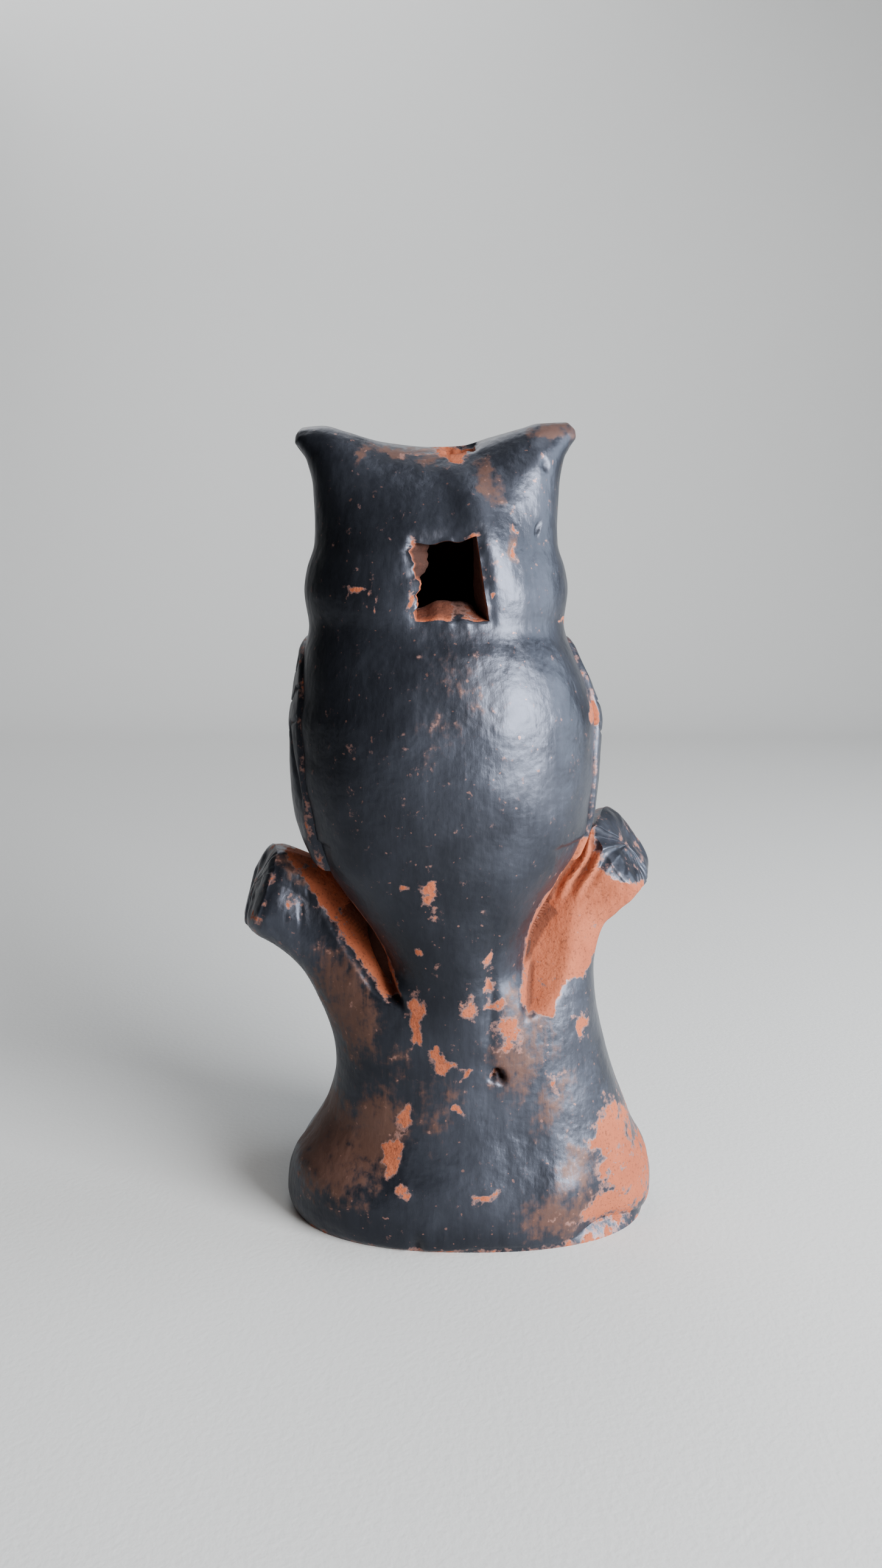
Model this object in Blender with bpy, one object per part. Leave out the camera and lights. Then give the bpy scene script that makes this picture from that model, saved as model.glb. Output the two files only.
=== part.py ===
"""Owl figurine: a hollow clay whistle, press-moulded in two halves and finished by hand.

The owl sits in the fork of a tree stump. Units are metres, +Z is up and the owl looks along -Y.
The origin is at the middle of the foot, on the plane that it stands on.
"""

import math

import bmesh
import bpy
from mathutils import Matrix, Vector

MM = 0.001

# Driving dimensions
WALL = 4.0 * MM  # thickness of the pressed clay
SLIP_GAP = 0.3 * MM  # the layer of slip between two luted pieces
SEAM_Y = 0.0  # the two halves meet in this plane
CEILING_Z = 121.0 * MM  # top of the hollow, under the crest
SLAB_THICK = 4.5 * MM  # the slab that closes the foot
SADDLE_LIFT = 3.5 * MM  # how far the ear tufts rise over the middle of the crest
SADDLE_FROM_Z = 108.0 * MM  # the rise fades out downwards to here
CREST_Z = 127.1 * MM  # the middle of the crest
TAIL_BLEND = 1.6 * MM  # softness of the crease between tail and stump
WAIST_Z = 63.0 * MM  # sections are spread round the stump below here and round the owl above
CROWN_RISE = 2.0 * MM  # the hollow closes over this much height, as a shallow dome
CROWN_SHARE = 0.75  # how much of the hollow's width is left at its very top
AROUND = 40  # points round each section
BRANCH_AROUND = 20  # points round each section of a branch
RING_STEP = 4.6 * MM  # height between sections
RING_GAP = 1.2 * MM  # least height between two sections
FINE_BELOW_Z = 7.0 * MM  # sections follow the table's own stations below here
FINE_ABOVE_Z = 122.1 * MM  # and above here
FAR = 80.0 * MM  # cutting boxes reach this far, well past the figure

# Stations are in millimetres: height, half width, depth behind, depth in front, squareness.
OWL = (
    (34.0, 6.0, 13.2, 6.0, 2.0),
    (39.0, 9.6, 15.6, 8.0, 2.2),
    (44.0, 11.3, 16.4, 10.0, 2.3),
    (50.0, 13.2, 17.6, 12.0, 2.3),
    (57.0, 17.4, 19.0, 16.0, 2.2),
    (63.0, 21.7, 20.2, 19.0, 2.2),
    (70.0, 23.4, 21.0, 20.8, 2.2),
    (78.0, 23.9, 21.4, 21.6, 2.2),
    (84.0, 23.9, 21.2, 21.5, 2.2),
    (90.0, 22.8, 20.2, 20.6, 2.2),
    (95.0, 21.4, 18.8, 19.0, 2.2),
    (99.5, 20.3, 17.4, 17.4, 2.2),
    (104.5, 20.8, 17.0, 17.6, 2.3),
    (108.0, 20.3, 16.4, 17.2, 2.3),
    (112.0, 19.1, 15.6, 16.0, 2.3),
    (116.0, 18.8, 14.0, 14.2, 2.3),
    (119.3, 18.9, 12.2, 12.2, 2.4),
    (122.5, 19.8, 9.6, 9.6, 2.6),
    (124.6, 20.8, 7.2, 7.2, 2.8),
    (126.0, 21.4, 4.8, 4.8, 2.8),
    (126.8, 20.6, 2.8, 2.8, 2.8),
    (127.1, 18.8, 1.0, 1.0, 2.8),
)
STUMP = (
    (0.0, 29.7, 17.6, 22.2, 2.3),
    (1.2, 30.9, 18.4, 23.2, 2.3),
    (3.5, 31.4, 18.8, 23.8, 2.3),
    (6.2, 31.2, 18.7, 23.6, 2.3),
    (9.6, 30.2, 18.2, 22.8, 2.3),
    (14.3, 27.4, 17.0, 20.8, 2.3),
    (18.8, 25.4, 16.2, 19.4, 2.2),
    (23.5, 23.8, 15.7, 18.3, 2.2),
    (29.1, 22.6, 15.3, 17.4, 2.2),
    (33.6, 22.0, 15.0, 17.0, 2.2),
    (40.0, 20.6, 13.4, 17.0, 2.2),
    (46.0, 18.8, 11.8, 17.4, 2.2),
    (52.0, 16.6, 10.4, 17.6, 2.2),
    (58.0, 14.0, 9.0, 17.0, 2.2),
    (64.0, 10.0, 7.0, 13.0, 2.2),
)
# The figure leans a little to its left as it rises: height, sideways shift.
LEAN = (
    (0.0, 0.0),
    (9.6, -0.2),
    (18.8, -1.1),
    (29.1, -0.4),
    (46.0, 2.2),
    (57.0, 3.7),
    (63.0, 4.1),
    (86.0, 4.1),
    (99.5, 5.5),
    (127.1, 5.7),
)

# Window of the whistle, cut through the back of the head: x and z of its corners.
WINDOW = (
    (8.0 * MM, 100.6 * MM),
    (-2.1 * MM, 100.6 * MM),
    (0.0 * MM, 112.6 * MM),
    (8.8 * MM, 111.8 * MM),
)
WINDOW_MIDDLE_Z = 105.0 * MM  # corners below here belong to the sill
WINDOW_DEPTH = (8.0 * MM, 24.0 * MM)  # the cut runs between these depths, right through the wall
BACK_OF_HEAD_Y = 16.0 * MM  # the corners are drawn at this depth
LABIUM_RISE = 2.4 * MM  # the ramped sill climbs this far through the wall
WINDWAY_SIZE = (4.2 * MM, 1.8 * MM)  # width and height of the blowing channel
WINDWAY_TOP = Vector((2.0 * MM, 0.2 * MM, 129.0 * MM))
WINDWAY_END = Vector((3.8 * MM, 13.4 * MM, 110.5 * MM))
PLUG_DRAWN_FROM_Z = 60.0 * MM  # the plug is drawn from here up, then trimmed
PLUG_BOTTOM_Z = 112.9 * MM  # the plug under the crest ends just above the window's head

# Branch stubs: centre line points, then half width and half depth at each, all in millimetres.
LEFT_BRANCH = (
    ((9.0, -2.0, 33.0), 8.6, 8.6),
    ((16.5, -2.2, 41.5), 8.3, 8.4),
    ((23.3, -2.0, 48.4), 8.0, 8.0),
    ((29.4, -1.8, 52.9), 7.9, 7.8),
    ((34.2, -1.6, 55.5), 7.8, 7.7),
    ((35.4, -1.6, 56.1), 6.4, 6.4),
)
RIGHT_BRANCH = (
    ((-6.0, -2.0, 33.0), 8.0, 8.2),
    ((-11.6, -2.6, 44.0), 7.2, 8.0),
    ((-17.2, -3.0, 53.6), 6.8, 7.8),
    ((-21.4, -3.2, 58.0), 7.2, 7.8),
    ((-25.2, -3.2, 61.3), 7.4, 7.7),
    ((-26.4, -3.2, 62.3), 6.0, 6.4),
)
BRANCH_SQUARENESS = 3.0
# How far each end is cut off square: its turn, then its slope to the back.
LEFT_CUT = (math.radians(5.0), 0.20)
RIGHT_CUT = (math.radians(-5.0), 0.38)

# Wing: closed outline in side view, y and z in millimetres, and thickness of the applied slab.
WING_OUTLINE = (
    (-2.0, 97.6),
    (5.0, 94.2),
    (9.8, 86.5),
    (11.6, 77.0),
    (11.4, 68.0),
    (9.6, 60.5),
    (6.4, 67.5),
    (0.5, 74.5),
    (-6.5, 77.5),
    (-10.8, 82.5),
    (-11.8, 89.0),
    (-8.0, 94.8),
)
WING_THICK = 1.6 * MM
WING_REACH = 24.0 * MM  # half the length of the prism that trims a wing
WING_INNER_X = 8.0 * MM  # the prism starts this far from the middle of the body
WING_MIDDLE_Z = 80.0 * MM

# Face, in millimetres
EYE_APART = 8.1
EYE_Z = 112.2
EYE_RING_RADIUS = 5.9
EYE_RING_TUBE = 1.15
EYE_BALL_RADIUS = 3.7
EYE_FLATNESS = 0.62
EYE_STAND = 0.5  # how far the middle of the eye stands off the face
EYE_RING_STAND = 0.45
EYE_RING_POINTS = 28
BEAK_TOP_Z = 109.5
BEAK_TIP_Z = 101.5
BEAK_ROOT = 2.0  # the beak starts this far inside the face
# Share of the way down the beak, half width, how far it stands off.
BEAK = ((0.0, 2.6, 0.6), (0.25, 3.3, 2.6), (0.55, 2.9, 3.9), (0.8, 1.9, 3.7), (1.0, 0.6, 2.2))
BEAK_AROUND = 16
FOOT_APART = 8.0
FOOT_Z = 52.5
TOE_SPREAD = 3.2
TOE_HALF = (1.9, 2.6, 5.6)
TOE_STAND = 0.6
TOE_FAN = math.radians(11.0)
TOE_TIP = math.radians(-8.0)

COIL_RADIUS = 1.6 * MM  # clay coil pressed along the inside of the seam
COIL_RUN = (9.0 * MM, 106.0 * MM)  # from above the slab to below the plug
COIL_POINTS = 34
COIL_INSET = 1.25  # in radii, from the wall to the middle of the coil

CLAY = (0.50, 0.19, 0.09, 1.0)
GRAPHITE = (0.055, 0.06, 0.07, 1.0)


def clear_scene():
    """Removes whatever the startup file holds."""
    for obj in list(bpy.data.objects):
        bpy.data.objects.remove(obj)


def make_material(name, colour, roughness, metallic):
    """A plain Principled BSDF."""
    material = bpy.data.materials.new(name)
    material.use_nodes = True
    shader = material.node_tree.nodes["Principled BSDF"]
    shader.inputs["Base Color"].default_value = colour
    shader.inputs["Roughness"].default_value = roughness
    shader.inputs["Metallic"].default_value = metallic
    return material


def read_track(knots, z, column):
    """One column of a station table at height z, along a monotone cubic curve, in millimetres."""
    heights = [knot[0] for knot in knots]
    values = [knot[column] for knot in knots]
    z = min(max(z, heights[0]), heights[-1])
    last = len(heights) - 1
    at = max(k for k in range(last) if heights[k] <= z or k == 0)
    slopes = [
        (values[k + 1] - values[k]) / (heights[k + 1] - heights[k])
        for k in range(last)
    ]

    def tangent(k):
        if k in (0, last):
            return slopes[min(k, last - 1)]
        before, after = slopes[k - 1], slopes[k]
        if before * after <= 0.0:
            return 0.0
        return 2.0 * before * after / (before + after)

    step = heights[at + 1] - heights[at]
    t = (z - heights[at]) / step
    return (
        values[at] * (1 + 2 * t) * (1 - t) ** 2
        + tangent(at) * step * t * (1 - t) ** 2
        + values[at + 1] * t * t * (3 - 2 * t)
        + tangent(at + 1) * step * t * t * (t - 1)
    )


def lean(z):
    """Sideways shift of the section at height z."""
    return read_track(LEAN, z / MM, 1) * MM


def section_radius(knots, z, angle, grow):
    """Radius of a superellipse section with its own depth behind (+Y) and in front (-Y)."""
    half_width = read_track(knots, z / MM, 1) * MM + grow
    side = 2 if math.sin(angle) > 0 else 3
    depth = read_track(knots, z / MM, side) * MM + grow
    power = read_track(knots, z / MM, 4)
    across = abs(math.cos(angle)) / max(half_width, 0.2 * MM)
    along = abs(math.sin(angle)) / max(depth, 0.2 * MM)
    return (across**power + along**power) ** (-1.0 / power)


def form_point(z, angle, grow=0.0):
    """A point of the modelled form: the owl and the stump joined by a smooth maximum of their radii."""
    low_owl, high_stump = OWL[0][0] * MM, STUMP[-1][0] * MM
    if z < low_owl:
        radius = section_radius(STUMP, z, angle, grow)
    elif z > high_stump:
        radius = section_radius(OWL, z, angle, grow)
    else:
        owl = section_radius(OWL, z, angle, grow)
        stump = section_radius(STUMP, z, angle, grow)
        overlap = max(TAIL_BLEND - abs(owl - stump), 0.0)
        radius = max(owl, stump) + overlap**2 / (4 * TAIL_BLEND)
    x, y = radius * math.cos(angle), radius * math.sin(angle)
    rise = min(max((z - SADDLE_FROM_Z) / (CREST_Z - SADDLE_FROM_Z), 0.0), 1.0) ** 2
    reach = OWL[-1][1] * MM
    lift = SADDLE_LIFT * rise * min(abs(x) / reach, 1.0) ** 2
    return Vector((lean(z) + x, y, z + lift))


def link(name, mesh, collection, material=None):
    """Puts a mesh in the scene as an object."""
    obj = bpy.data.objects.new(name, mesh)
    collection.objects.link(obj)
    if material:
        mesh.materials.append(material)
    return obj


def loft(name, rings, collection, material=None):
    """A closed solid through equal rings of points. The first and last rings are filled flat across."""
    bm = bmesh.new()
    loops = [[bm.verts.new(point) for point in ring] for ring in rings]
    count = len(rings[0])
    for low, high in zip(loops, loops[1:]):
        for k in range(count):
            n = (k + 1) % count
            bm.faces.new((low[k], low[n], high[n], high[k]))
    for loop in (loops[0], loops[-1]):
        zip_across(bm, loop)
    bmesh.ops.recalc_face_normals(bm, faces=bm.faces)
    mesh = bpy.data.meshes.new(name)
    bm.to_mesh(mesh)
    bm.free()
    return link(name, mesh, collection, material)


def zip_across(bm, loop):
    """Closes a ring with strips that run from each point to the one opposite, front to back."""
    half = len(loop) // 2
    for k in range(half):
        corners = (loop[k], loop[k + 1], loop[-k - 1], loop[-k])
        distinct = list(dict.fromkeys(corners))
        bm.faces.new(distinct)


def levels(low, high, knots):
    """Heights of the sections between two heights, with the knots of a table near its ends."""
    count = max(2, round((high - low) / RING_STEP))
    even = {round(low + (high - low) * k / count, 6) for k in range(count + 1)}
    close = {
        round(knot[0] * MM, 6)
        for knot in knots
        if low < knot[0] * MM < high
        and (knot[0] * MM > FINE_ABOVE_Z or knot[0] * MM < FINE_BELOW_Z)
    }
    kept = [z for z in even if all(abs(z - c) > RING_GAP for c in close) or z in (low, high)]
    return sorted(set(kept) | close)


def ring_angles(z):
    """Directions of a ring's points, spaced evenly round an ellipse of the section's proportions."""
    knots = OWL if z > WAIST_Z else STUMP
    half_width = read_track(knots, z / MM, 1)
    angles = []
    for k in range(AROUND):
        turn = 2 * math.pi * k / AROUND
        depth = read_track(knots, z / MM, 2 if math.sin(turn) > 0 else 3)
        angle = math.atan2(depth * math.sin(turn), half_width * math.cos(turn))
        angles.append(angle % (2 * math.pi))
    return angles


def solid_form(name, grow, collection):
    """The whole figure as one solid, grown or shrunk sideways by a distance."""
    rings = [
        [form_point(z, angle, grow) for angle in ring_angles(z)]
        for z in levels(0.0, CREST_Z, OWL[-6:] + STUMP[:4])
    ]
    if grow > 0.0:
        for point in rings[-1]:
            point.z += grow
    return loft(name, rings, collection)


def hollow_form(name, grow, collection, low, high):
    """The hollow inside the figure, closed by a shallow dome under the crest."""
    shrink = grow - WALL
    rings = [
        [form_point(max(z, 0.0), angle, shrink) for angle in ring_angles(z)]
        for z in levels(low, high - CROWN_RISE, STUMP[:4])
    ]
    for point in rings[0]:
        point.z = low
    middle = Vector((lean(high), 0.0, high))
    crown = [
        middle.lerp(form_point(high - CROWN_RISE, angle, shrink), CROWN_SHARE)
        for angle in ring_angles(high - CROWN_RISE)
    ]
    for point in crown:
        point.z = high
    return loft(name, rings + [crown], collection)


def make_box(name, low, high, collection):
    """A box between two corners."""
    low, high = Vector(low), Vector(high)
    bm = bmesh.new()
    bmesh.ops.create_cube(bm, size=1.0)
    size = Matrix.Diagonal((*(high - low), 1.0))
    bmesh.ops.transform(bm, matrix=Matrix.Translation((low + high) / 2) @ size, verts=bm.verts)
    mesh = bpy.data.meshes.new(name)
    bm.to_mesh(mesh)
    bm.free()
    return link(name, mesh, collection)


def boolean(obj, other, operation):
    """Adds an exact Boolean to obj and hides the other shape."""
    modifier = obj.modifiers.new(operation.title(), "BOOLEAN")
    modifier.operation = operation
    modifier.object = other
    modifier.solver = "EXACT"
    other.hide_render = True
    other.display_type = "WIRE"
    return obj


def baked(obj):
    """Applies the object's modifiers, so that it can be cut again or used as a cutter."""
    bpy.context.view_layer.update()
    evaluated = obj.evaluated_get(bpy.context.evaluated_depsgraph_get())
    mesh = bpy.data.meshes.new_from_object(evaluated)
    obj.modifiers.clear()
    obj.data = mesh
    return obj


def duplicate(obj, name, collection):
    """A second object with its own copy of the mesh."""
    return link(name, obj.data.copy(), collection)


def make_window_cutter(collection):
    """The window's tapering prism. Its sill rises inwards, which leaves the ramp that splits the air."""
    climb = LABIUM_RISE / WALL
    rings = []
    for y in WINDOW_DEPTH:
        ring = []
        for x, z in WINDOW:
            sill = z < WINDOW_MIDDLE_Z
            ring.append(Vector((x, y, z + (BACK_OF_HEAD_Y - y) * climb * sill)))
        rings.append(ring)
    return loft("window_cutter", rings, collection)


def make_windway_cutter(collection):
    """A flat channel from the crest down to the head of the window."""
    run = WINDWAY_END - WINDWAY_TOP
    low = (-WINDWAY_SIZE[0] / 2, -WINDWAY_SIZE[1] / 2, 0.0)
    high = (WINDWAY_SIZE[0] / 2, WINDWAY_SIZE[1] / 2, run.length)
    cutter = make_box("windway_cutter", low, high, collection)
    cutter.rotation_mode = "QUATERNION"
    cutter.rotation_quaternion = run.to_track_quat("Z", "Y")
    cutter.location = WINDWAY_TOP
    bpy.context.view_layer.update()
    cutter.data.transform(cutter.matrix_world)
    cutter.matrix_world = Matrix.Identity(4)
    return cutter


def branch_rings(stations, cut):
    """Rounded-square sections set square to the branch, slanted at the end as the knife cut it."""
    cut_turn, cut_slope = cut
    points = [Vector(station[0]) * MM for station in stations]
    rings = []
    for k, (_, half_width, half_depth) in enumerate(stations):
        before, after = points[max(k - 1, 0)], points[min(k + 1, len(points) - 1)]
        ahead = (after - before).normalized()
        across = ahead.cross(Vector((0, 1, 0))).normalized()
        share = max(0.0, (k - 1) / (len(points) - 2))
        turn = Matrix.Rotation(cut_turn * share, 3, "Y")
        across = turn @ across
        ring = []
        for step in range(BRANCH_AROUND):
            angle = 2 * math.pi * step / BRANCH_AROUND
            c, s = math.cos(angle), math.sin(angle)
            swell = (abs(c) ** BRANCH_SQUARENESS + abs(s) ** BRANCH_SQUARENESS) ** (-1 / BRANCH_SQUARENESS)
            behind = s * swell * half_depth * MM
            ring.append(
                points[k]
                + across * (c * swell * half_width * MM)
                + Vector((0, 1, 0)) * behind
                - ahead * (cut_slope * share * behind)
            )
        rings.append(ring)
    return rings


def make_branch(name, stations, cut, keep_off, parts, material):
    """A branch stub, cut to sit on the figure with a layer of slip between."""
    stub = loft(name, branch_rings(stations, cut), parts, material)
    return boolean(stub, keep_off, "DIFFERENCE")


def wing_prism(name, side, collection):
    """The wing's outline, drawn out sideways from the middle of the body."""
    curve = bpy.data.curves.new(name, "CURVE")
    curve.dimensions = "2D"
    curve.fill_mode = "BOTH"
    curve.extrude = WING_REACH
    curve.resolution_u = 3
    spline = curve.splines.new("BEZIER")
    spline.use_cyclic_u = True
    spline.bezier_points.add(len(WING_OUTLINE) - 1)
    for point, (y, z) in zip(spline.bezier_points, WING_OUTLINE):
        point.co = (y * MM, z * MM, 0.0)
        point.handle_left_type = point.handle_right_type = "AUTO"
    drawn = bpy.data.objects.new(name + "_curve", curve)
    collection.objects.link(drawn)
    # The curve's own X, Y and Z become the figure's Y, Z and X.
    frame = Matrix(((0, 0, 1, 0), (1, 0, 0, 0), (0, 1, 0, 0), (0, 0, 0, 1)))
    middle = lean(WING_MIDDLE_Z) + side * (WING_REACH + WING_INNER_X)
    drawn.matrix_world = Matrix.Translation((middle, 0, 0)) @ frame
    bpy.context.view_layer.update()
    evaluated = drawn.evaluated_get(bpy.context.evaluated_depsgraph_get())
    mesh = bpy.data.meshes.new_from_object(evaluated)
    bm = bmesh.new()
    bm.from_mesh(mesh)
    bmesh.ops.remove_doubles(bm, verts=bm.verts, dist=0.01 * MM)
    bmesh.ops.transform(bm, matrix=drawn.matrix_world, verts=bm.verts)
    bmesh.ops.recalc_face_normals(bm, faces=bm.faces)
    bm.to_mesh(mesh)
    bm.free()
    bpy.data.objects.remove(drawn)
    return link(name, mesh, collection)


def front_point(x, z):
    """The point of the owl's front at this x and height, found by stepping round its section."""
    best = None
    for step in range(181):
        point = form_point(z, math.pi + math.pi * step / 180)
        if best is None or abs(point.x - x) < abs(best.x - x):
            best = point
    return best


def front_normal(x, z):
    """Outward normal of the owl's front."""
    reach = 1.5 * MM
    across = front_point(x + reach, z) - front_point(x - reach, z)
    up = front_point(x, z + reach) - front_point(x, z - reach)
    return across.cross(up).normalized()


def transformed(bm, matrix, name, collection, material):
    """Moves a bmesh into place and turns it into a smooth object."""
    bmesh.ops.transform(bm, matrix=matrix, verts=bm.verts)
    mesh = bpy.data.meshes.new(name)
    bm.to_mesh(mesh)
    bm.free()
    mesh.shade_smooth()
    return link(name, mesh, collection, material)


def make_eye(name, side, keep_off, parts, material):
    """A button of clay, pressed on in the middle of its ring."""
    x, z = lean(EYE_Z * MM) + side * EYE_APART * MM, EYE_Z * MM
    normal = front_normal(x, z)
    bm = bmesh.new()
    bmesh.ops.create_uvsphere(bm, u_segments=20, v_segments=10, radius=EYE_BALL_RADIUS * MM)
    flat = Matrix.Diagonal((1.0, 1.0, EYE_FLATNESS, 1.0))
    place = Matrix.Translation(front_point(x, z) + normal * EYE_STAND * MM)
    turn = normal.to_track_quat("Z", "Y").to_matrix().to_4x4()
    eye = transformed(bm, place @ turn @ flat, name, parts, material)
    return boolean(eye, keep_off, "DIFFERENCE")


def make_eye_ring(name, side, keep_off, parts, material):
    """A thin coil of clay laid round the eye."""
    x, z = lean(EYE_Z * MM) + side * EYE_APART * MM, EYE_Z * MM
    normal = front_normal(x, z)
    turn = normal.to_track_quat("Z", "Y")
    curve = bpy.data.curves.new(name, "CURVE")
    curve.dimensions = "3D"
    curve.bevel_depth = EYE_RING_TUBE * MM
    curve.bevel_resolution = 2
    spline = curve.splines.new("POLY")
    spline.use_cyclic_u = True
    spline.points.add(EYE_RING_POINTS - 1)
    for k, point in enumerate(spline.points):
        angle = 2 * math.pi * k / EYE_RING_POINTS
        flat = Vector((math.cos(angle), math.sin(angle), 0.0)) * EYE_RING_RADIUS * MM
        over = turn @ flat + front_point(x, z)
        on_face = front_point(over.x, over.z)
        point.co = (*(on_face + normal * EYE_RING_STAND * MM), 1.0)
    drawn = bpy.data.objects.new(name + "_curve", curve)
    parts.objects.link(drawn)
    bpy.context.view_layer.update()
    evaluated = drawn.evaluated_get(bpy.context.evaluated_depsgraph_get())
    mesh = bpy.data.meshes.new_from_object(evaluated)
    bpy.data.objects.remove(drawn)
    mesh.materials.clear()
    return boolean(link(name, mesh, parts, material), keep_off, "DIFFERENCE")


def make_beak(keep_off, parts, material):
    """A small hooked beak: sections that narrow downwards and stand off the face in the middle."""
    rings = []
    for share, half_width, stand in BEAK:
        z = (BEAK_TOP_Z + (BEAK_TIP_Z - BEAK_TOP_Z) * share) * MM
        root = front_point(lean(z), z)
        ring = []
        for step in range(BEAK_AROUND):
            angle = 2 * math.pi * step / BEAK_AROUND
            out = max(math.cos(angle), 0.0) * stand - BEAK_ROOT
            ring.append(root + Vector((math.sin(angle) * half_width, -out, 0.0)) * MM)
        rings.append(ring)
    return boolean(loft("beak", rings, parts, material), keep_off, "DIFFERENCE")


def make_foot(name, side, keep_off, parts, material):
    """Three rolled toes joined side by side, gripping the edge of the stump."""
    toes = []
    for k, spread in enumerate((-1, 0, 1)):
        x = lean(FOOT_Z * MM) + (side * FOOT_APART + spread * TOE_SPREAD) * MM
        bm = bmesh.new()
        bmesh.ops.create_uvsphere(bm, u_segments=12, v_segments=8, radius=MM)
        size = Matrix.Diagonal((*TOE_HALF, 1.0))
        fan = Matrix.Rotation(TOE_FAN * spread, 4, "Y")
        tip = Matrix.Rotation(TOE_TIP, 4, "X")
        place = Matrix.Translation(front_point(x, FOOT_Z * MM) + Vector((0, -TOE_STAND * MM, 0)))
        home = parts if k == 0 else bpy.data.collections["Cutters"]
        toe_name = name if k == 0 else f"{name}_toe_{k}"
        toes.append(transformed(bm, place @ fan @ tip @ size, toe_name, home, material))
    for toe in toes[1:]:
        boolean(toes[0], toe, "UNION")
    return boolean(baked(toes[0]), keep_off, "DIFFERENCE")


def make_seam_coil(name, side, parts, material):
    """A coil of clay along the inside of the seam, from above the slab to below the plug."""
    curve = bpy.data.curves.new(name, "CURVE")
    curve.dimensions = "3D"
    curve.bevel_depth = COIL_RADIUS
    curve.bevel_resolution = 2
    curve.use_fill_caps = True
    spline = curve.splines.new("POLY")
    low, high = COIL_RUN
    spline.points.add(COIL_POINTS - 1)
    angle = 0.0 if side > 0 else math.pi
    for k, point in enumerate(spline.points):
        z = low + (high - low) * k / (COIL_POINTS - 1)
        wall = form_point(z, angle, -WALL)
        inset = COIL_RADIUS * COIL_INSET + SLIP_GAP
        point.co = (wall.x - side * inset, SEAM_Y, z, 1.0)
    coil = bpy.data.objects.new(name, curve)
    curve.materials.append(material)
    parts.objects.link(coil)
    return coil


def make_shells(outer, hollow, window, windway, parts, cutters, material):
    """Makes the back and front halves, with the window and the windway cut in the back one."""
    body = duplicate(outer, "body_hollowed", cutters)
    baked(boolean(body, hollow, "DIFFERENCE"))
    halves = {}
    for name, low_y, high_y in (
        ("back_shell", SEAM_Y + SLIP_GAP / 2, SEAM_Y + FAR),
        ("front_shell", SEAM_Y - FAR, SEAM_Y - SLIP_GAP / 2),
    ):
        keep = make_box(name + "_half", (-FAR, low_y, -FAR), (FAR, high_y, 2 * FAR), cutters)
        half = duplicate(body, name, parts)
        half.data.materials.clear()
        half.data.materials.append(material)
        boolean(half, keep, "INTERSECT")
        halves[name] = baked(half)
    boolean(halves["back_shell"], window, "DIFFERENCE")
    boolean(halves["back_shell"], windway, "DIFFERENCE")


def make_plug(windway, parts, cutters, material):
    """The block under the crest that turns the breath towards the window."""
    plug = hollow_form("windway_plug", -SLIP_GAP, parts, PLUG_DRAWN_FROM_Z, CEILING_Z - SLIP_GAP)
    plug.data.materials.append(material)
    below = make_box("plug_below", (-FAR, -FAR, 0.0), (FAR, FAR, PLUG_BOTTOM_Z), cutters)
    boolean(plug, below, "DIFFERENCE")
    return boolean(plug, windway, "DIFFERENCE")


def make_slab(parts, material):
    """The slab that closes the foot, flush with the rim of the two halves."""
    rings = [
        [form_point(z, angle, -WALL - SLIP_GAP) for angle in ring_angles(z)]
        for z in (0.0, SLAB_THICK * 0.5, SLAB_THICK)
    ]
    return loft("base_slab", rings, parts, material)


def make_wing(name, side, keep_off, parts, cutters, material):
    """A slab cut to the wing's outline and pressed round the flank."""
    wing = solid_form(name, SLIP_GAP + WING_THICK, parts)
    wing.data.materials.append(material)
    boolean(wing, wing_prism(name + "_outline", side, cutters), "INTERSECT")
    return boolean(baked(wing), keep_off, "DIFFERENCE")


def build():
    """Makes every piece of the figurine."""
    clear_scene()
    parts = bpy.data.collections.new("Owl figurine")
    cutters = bpy.data.collections.new("Cutters")
    for collection in (parts, cutters):
        bpy.context.scene.collection.children.link(collection)
    graphite = make_material("graphite_finish", GRAPHITE, 0.42, 0.35)
    bare = make_material("bare_clay", CLAY, 0.85, 0.0)

    outer = solid_form("outer_form", 0.0, cutters)
    keep_off = solid_form("keep_off_form", SLIP_GAP, cutters)
    hollow = hollow_form("hollow_form", 0.0, cutters, -2 * MM, CEILING_Z)
    window = make_window_cutter(cutters)
    windway = make_windway_cutter(cutters)

    make_shells(outer, hollow, window, windway, parts, cutters, graphite)
    make_slab(parts, bare)
    make_plug(windway, parts, cutters, bare)
    for word, side in (("left", 1), ("right", -1)):
        make_seam_coil(f"{word}_seam_coil", side, parts, bare)
        make_wing(f"{word}_wing", side, keep_off, parts, cutters, graphite)
        make_eye_ring(f"{word}_eye_ring", side, keep_off, parts, graphite)
        make_eye(f"{word}_eye", side, keep_off, parts, graphite)
        make_foot(f"{word}_foot", side, keep_off, parts, graphite)
    make_beak(keep_off, parts, graphite)
    make_branch("left_branch", LEFT_BRANCH, LEFT_CUT, keep_off, parts, graphite)
    make_branch("right_branch", RIGHT_BRANCH, RIGHT_CUT, keep_off, parts, graphite)
    for shape in cutters.objects:
        shape.hide_render = True
        shape.display_type = "WIRE"


build()
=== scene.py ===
"""Looks of a hollow clay owl whistle, press-moulded, luted, slipped with graphite and burnished.

Lengths in this file are millimetres until a mesh is written, and +Z is up. The owl looks along -Y,
so the window in the back of its head faces +Y, and +X is the owl's own left.
"""

from __future__ import annotations

import logging
import math
from dataclasses import dataclass, field
from enum import Enum
from typing import Any, Callable, Sequence

import bmesh
import bpy
import numpy as np
from mathutils import Matrix, Vector


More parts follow.
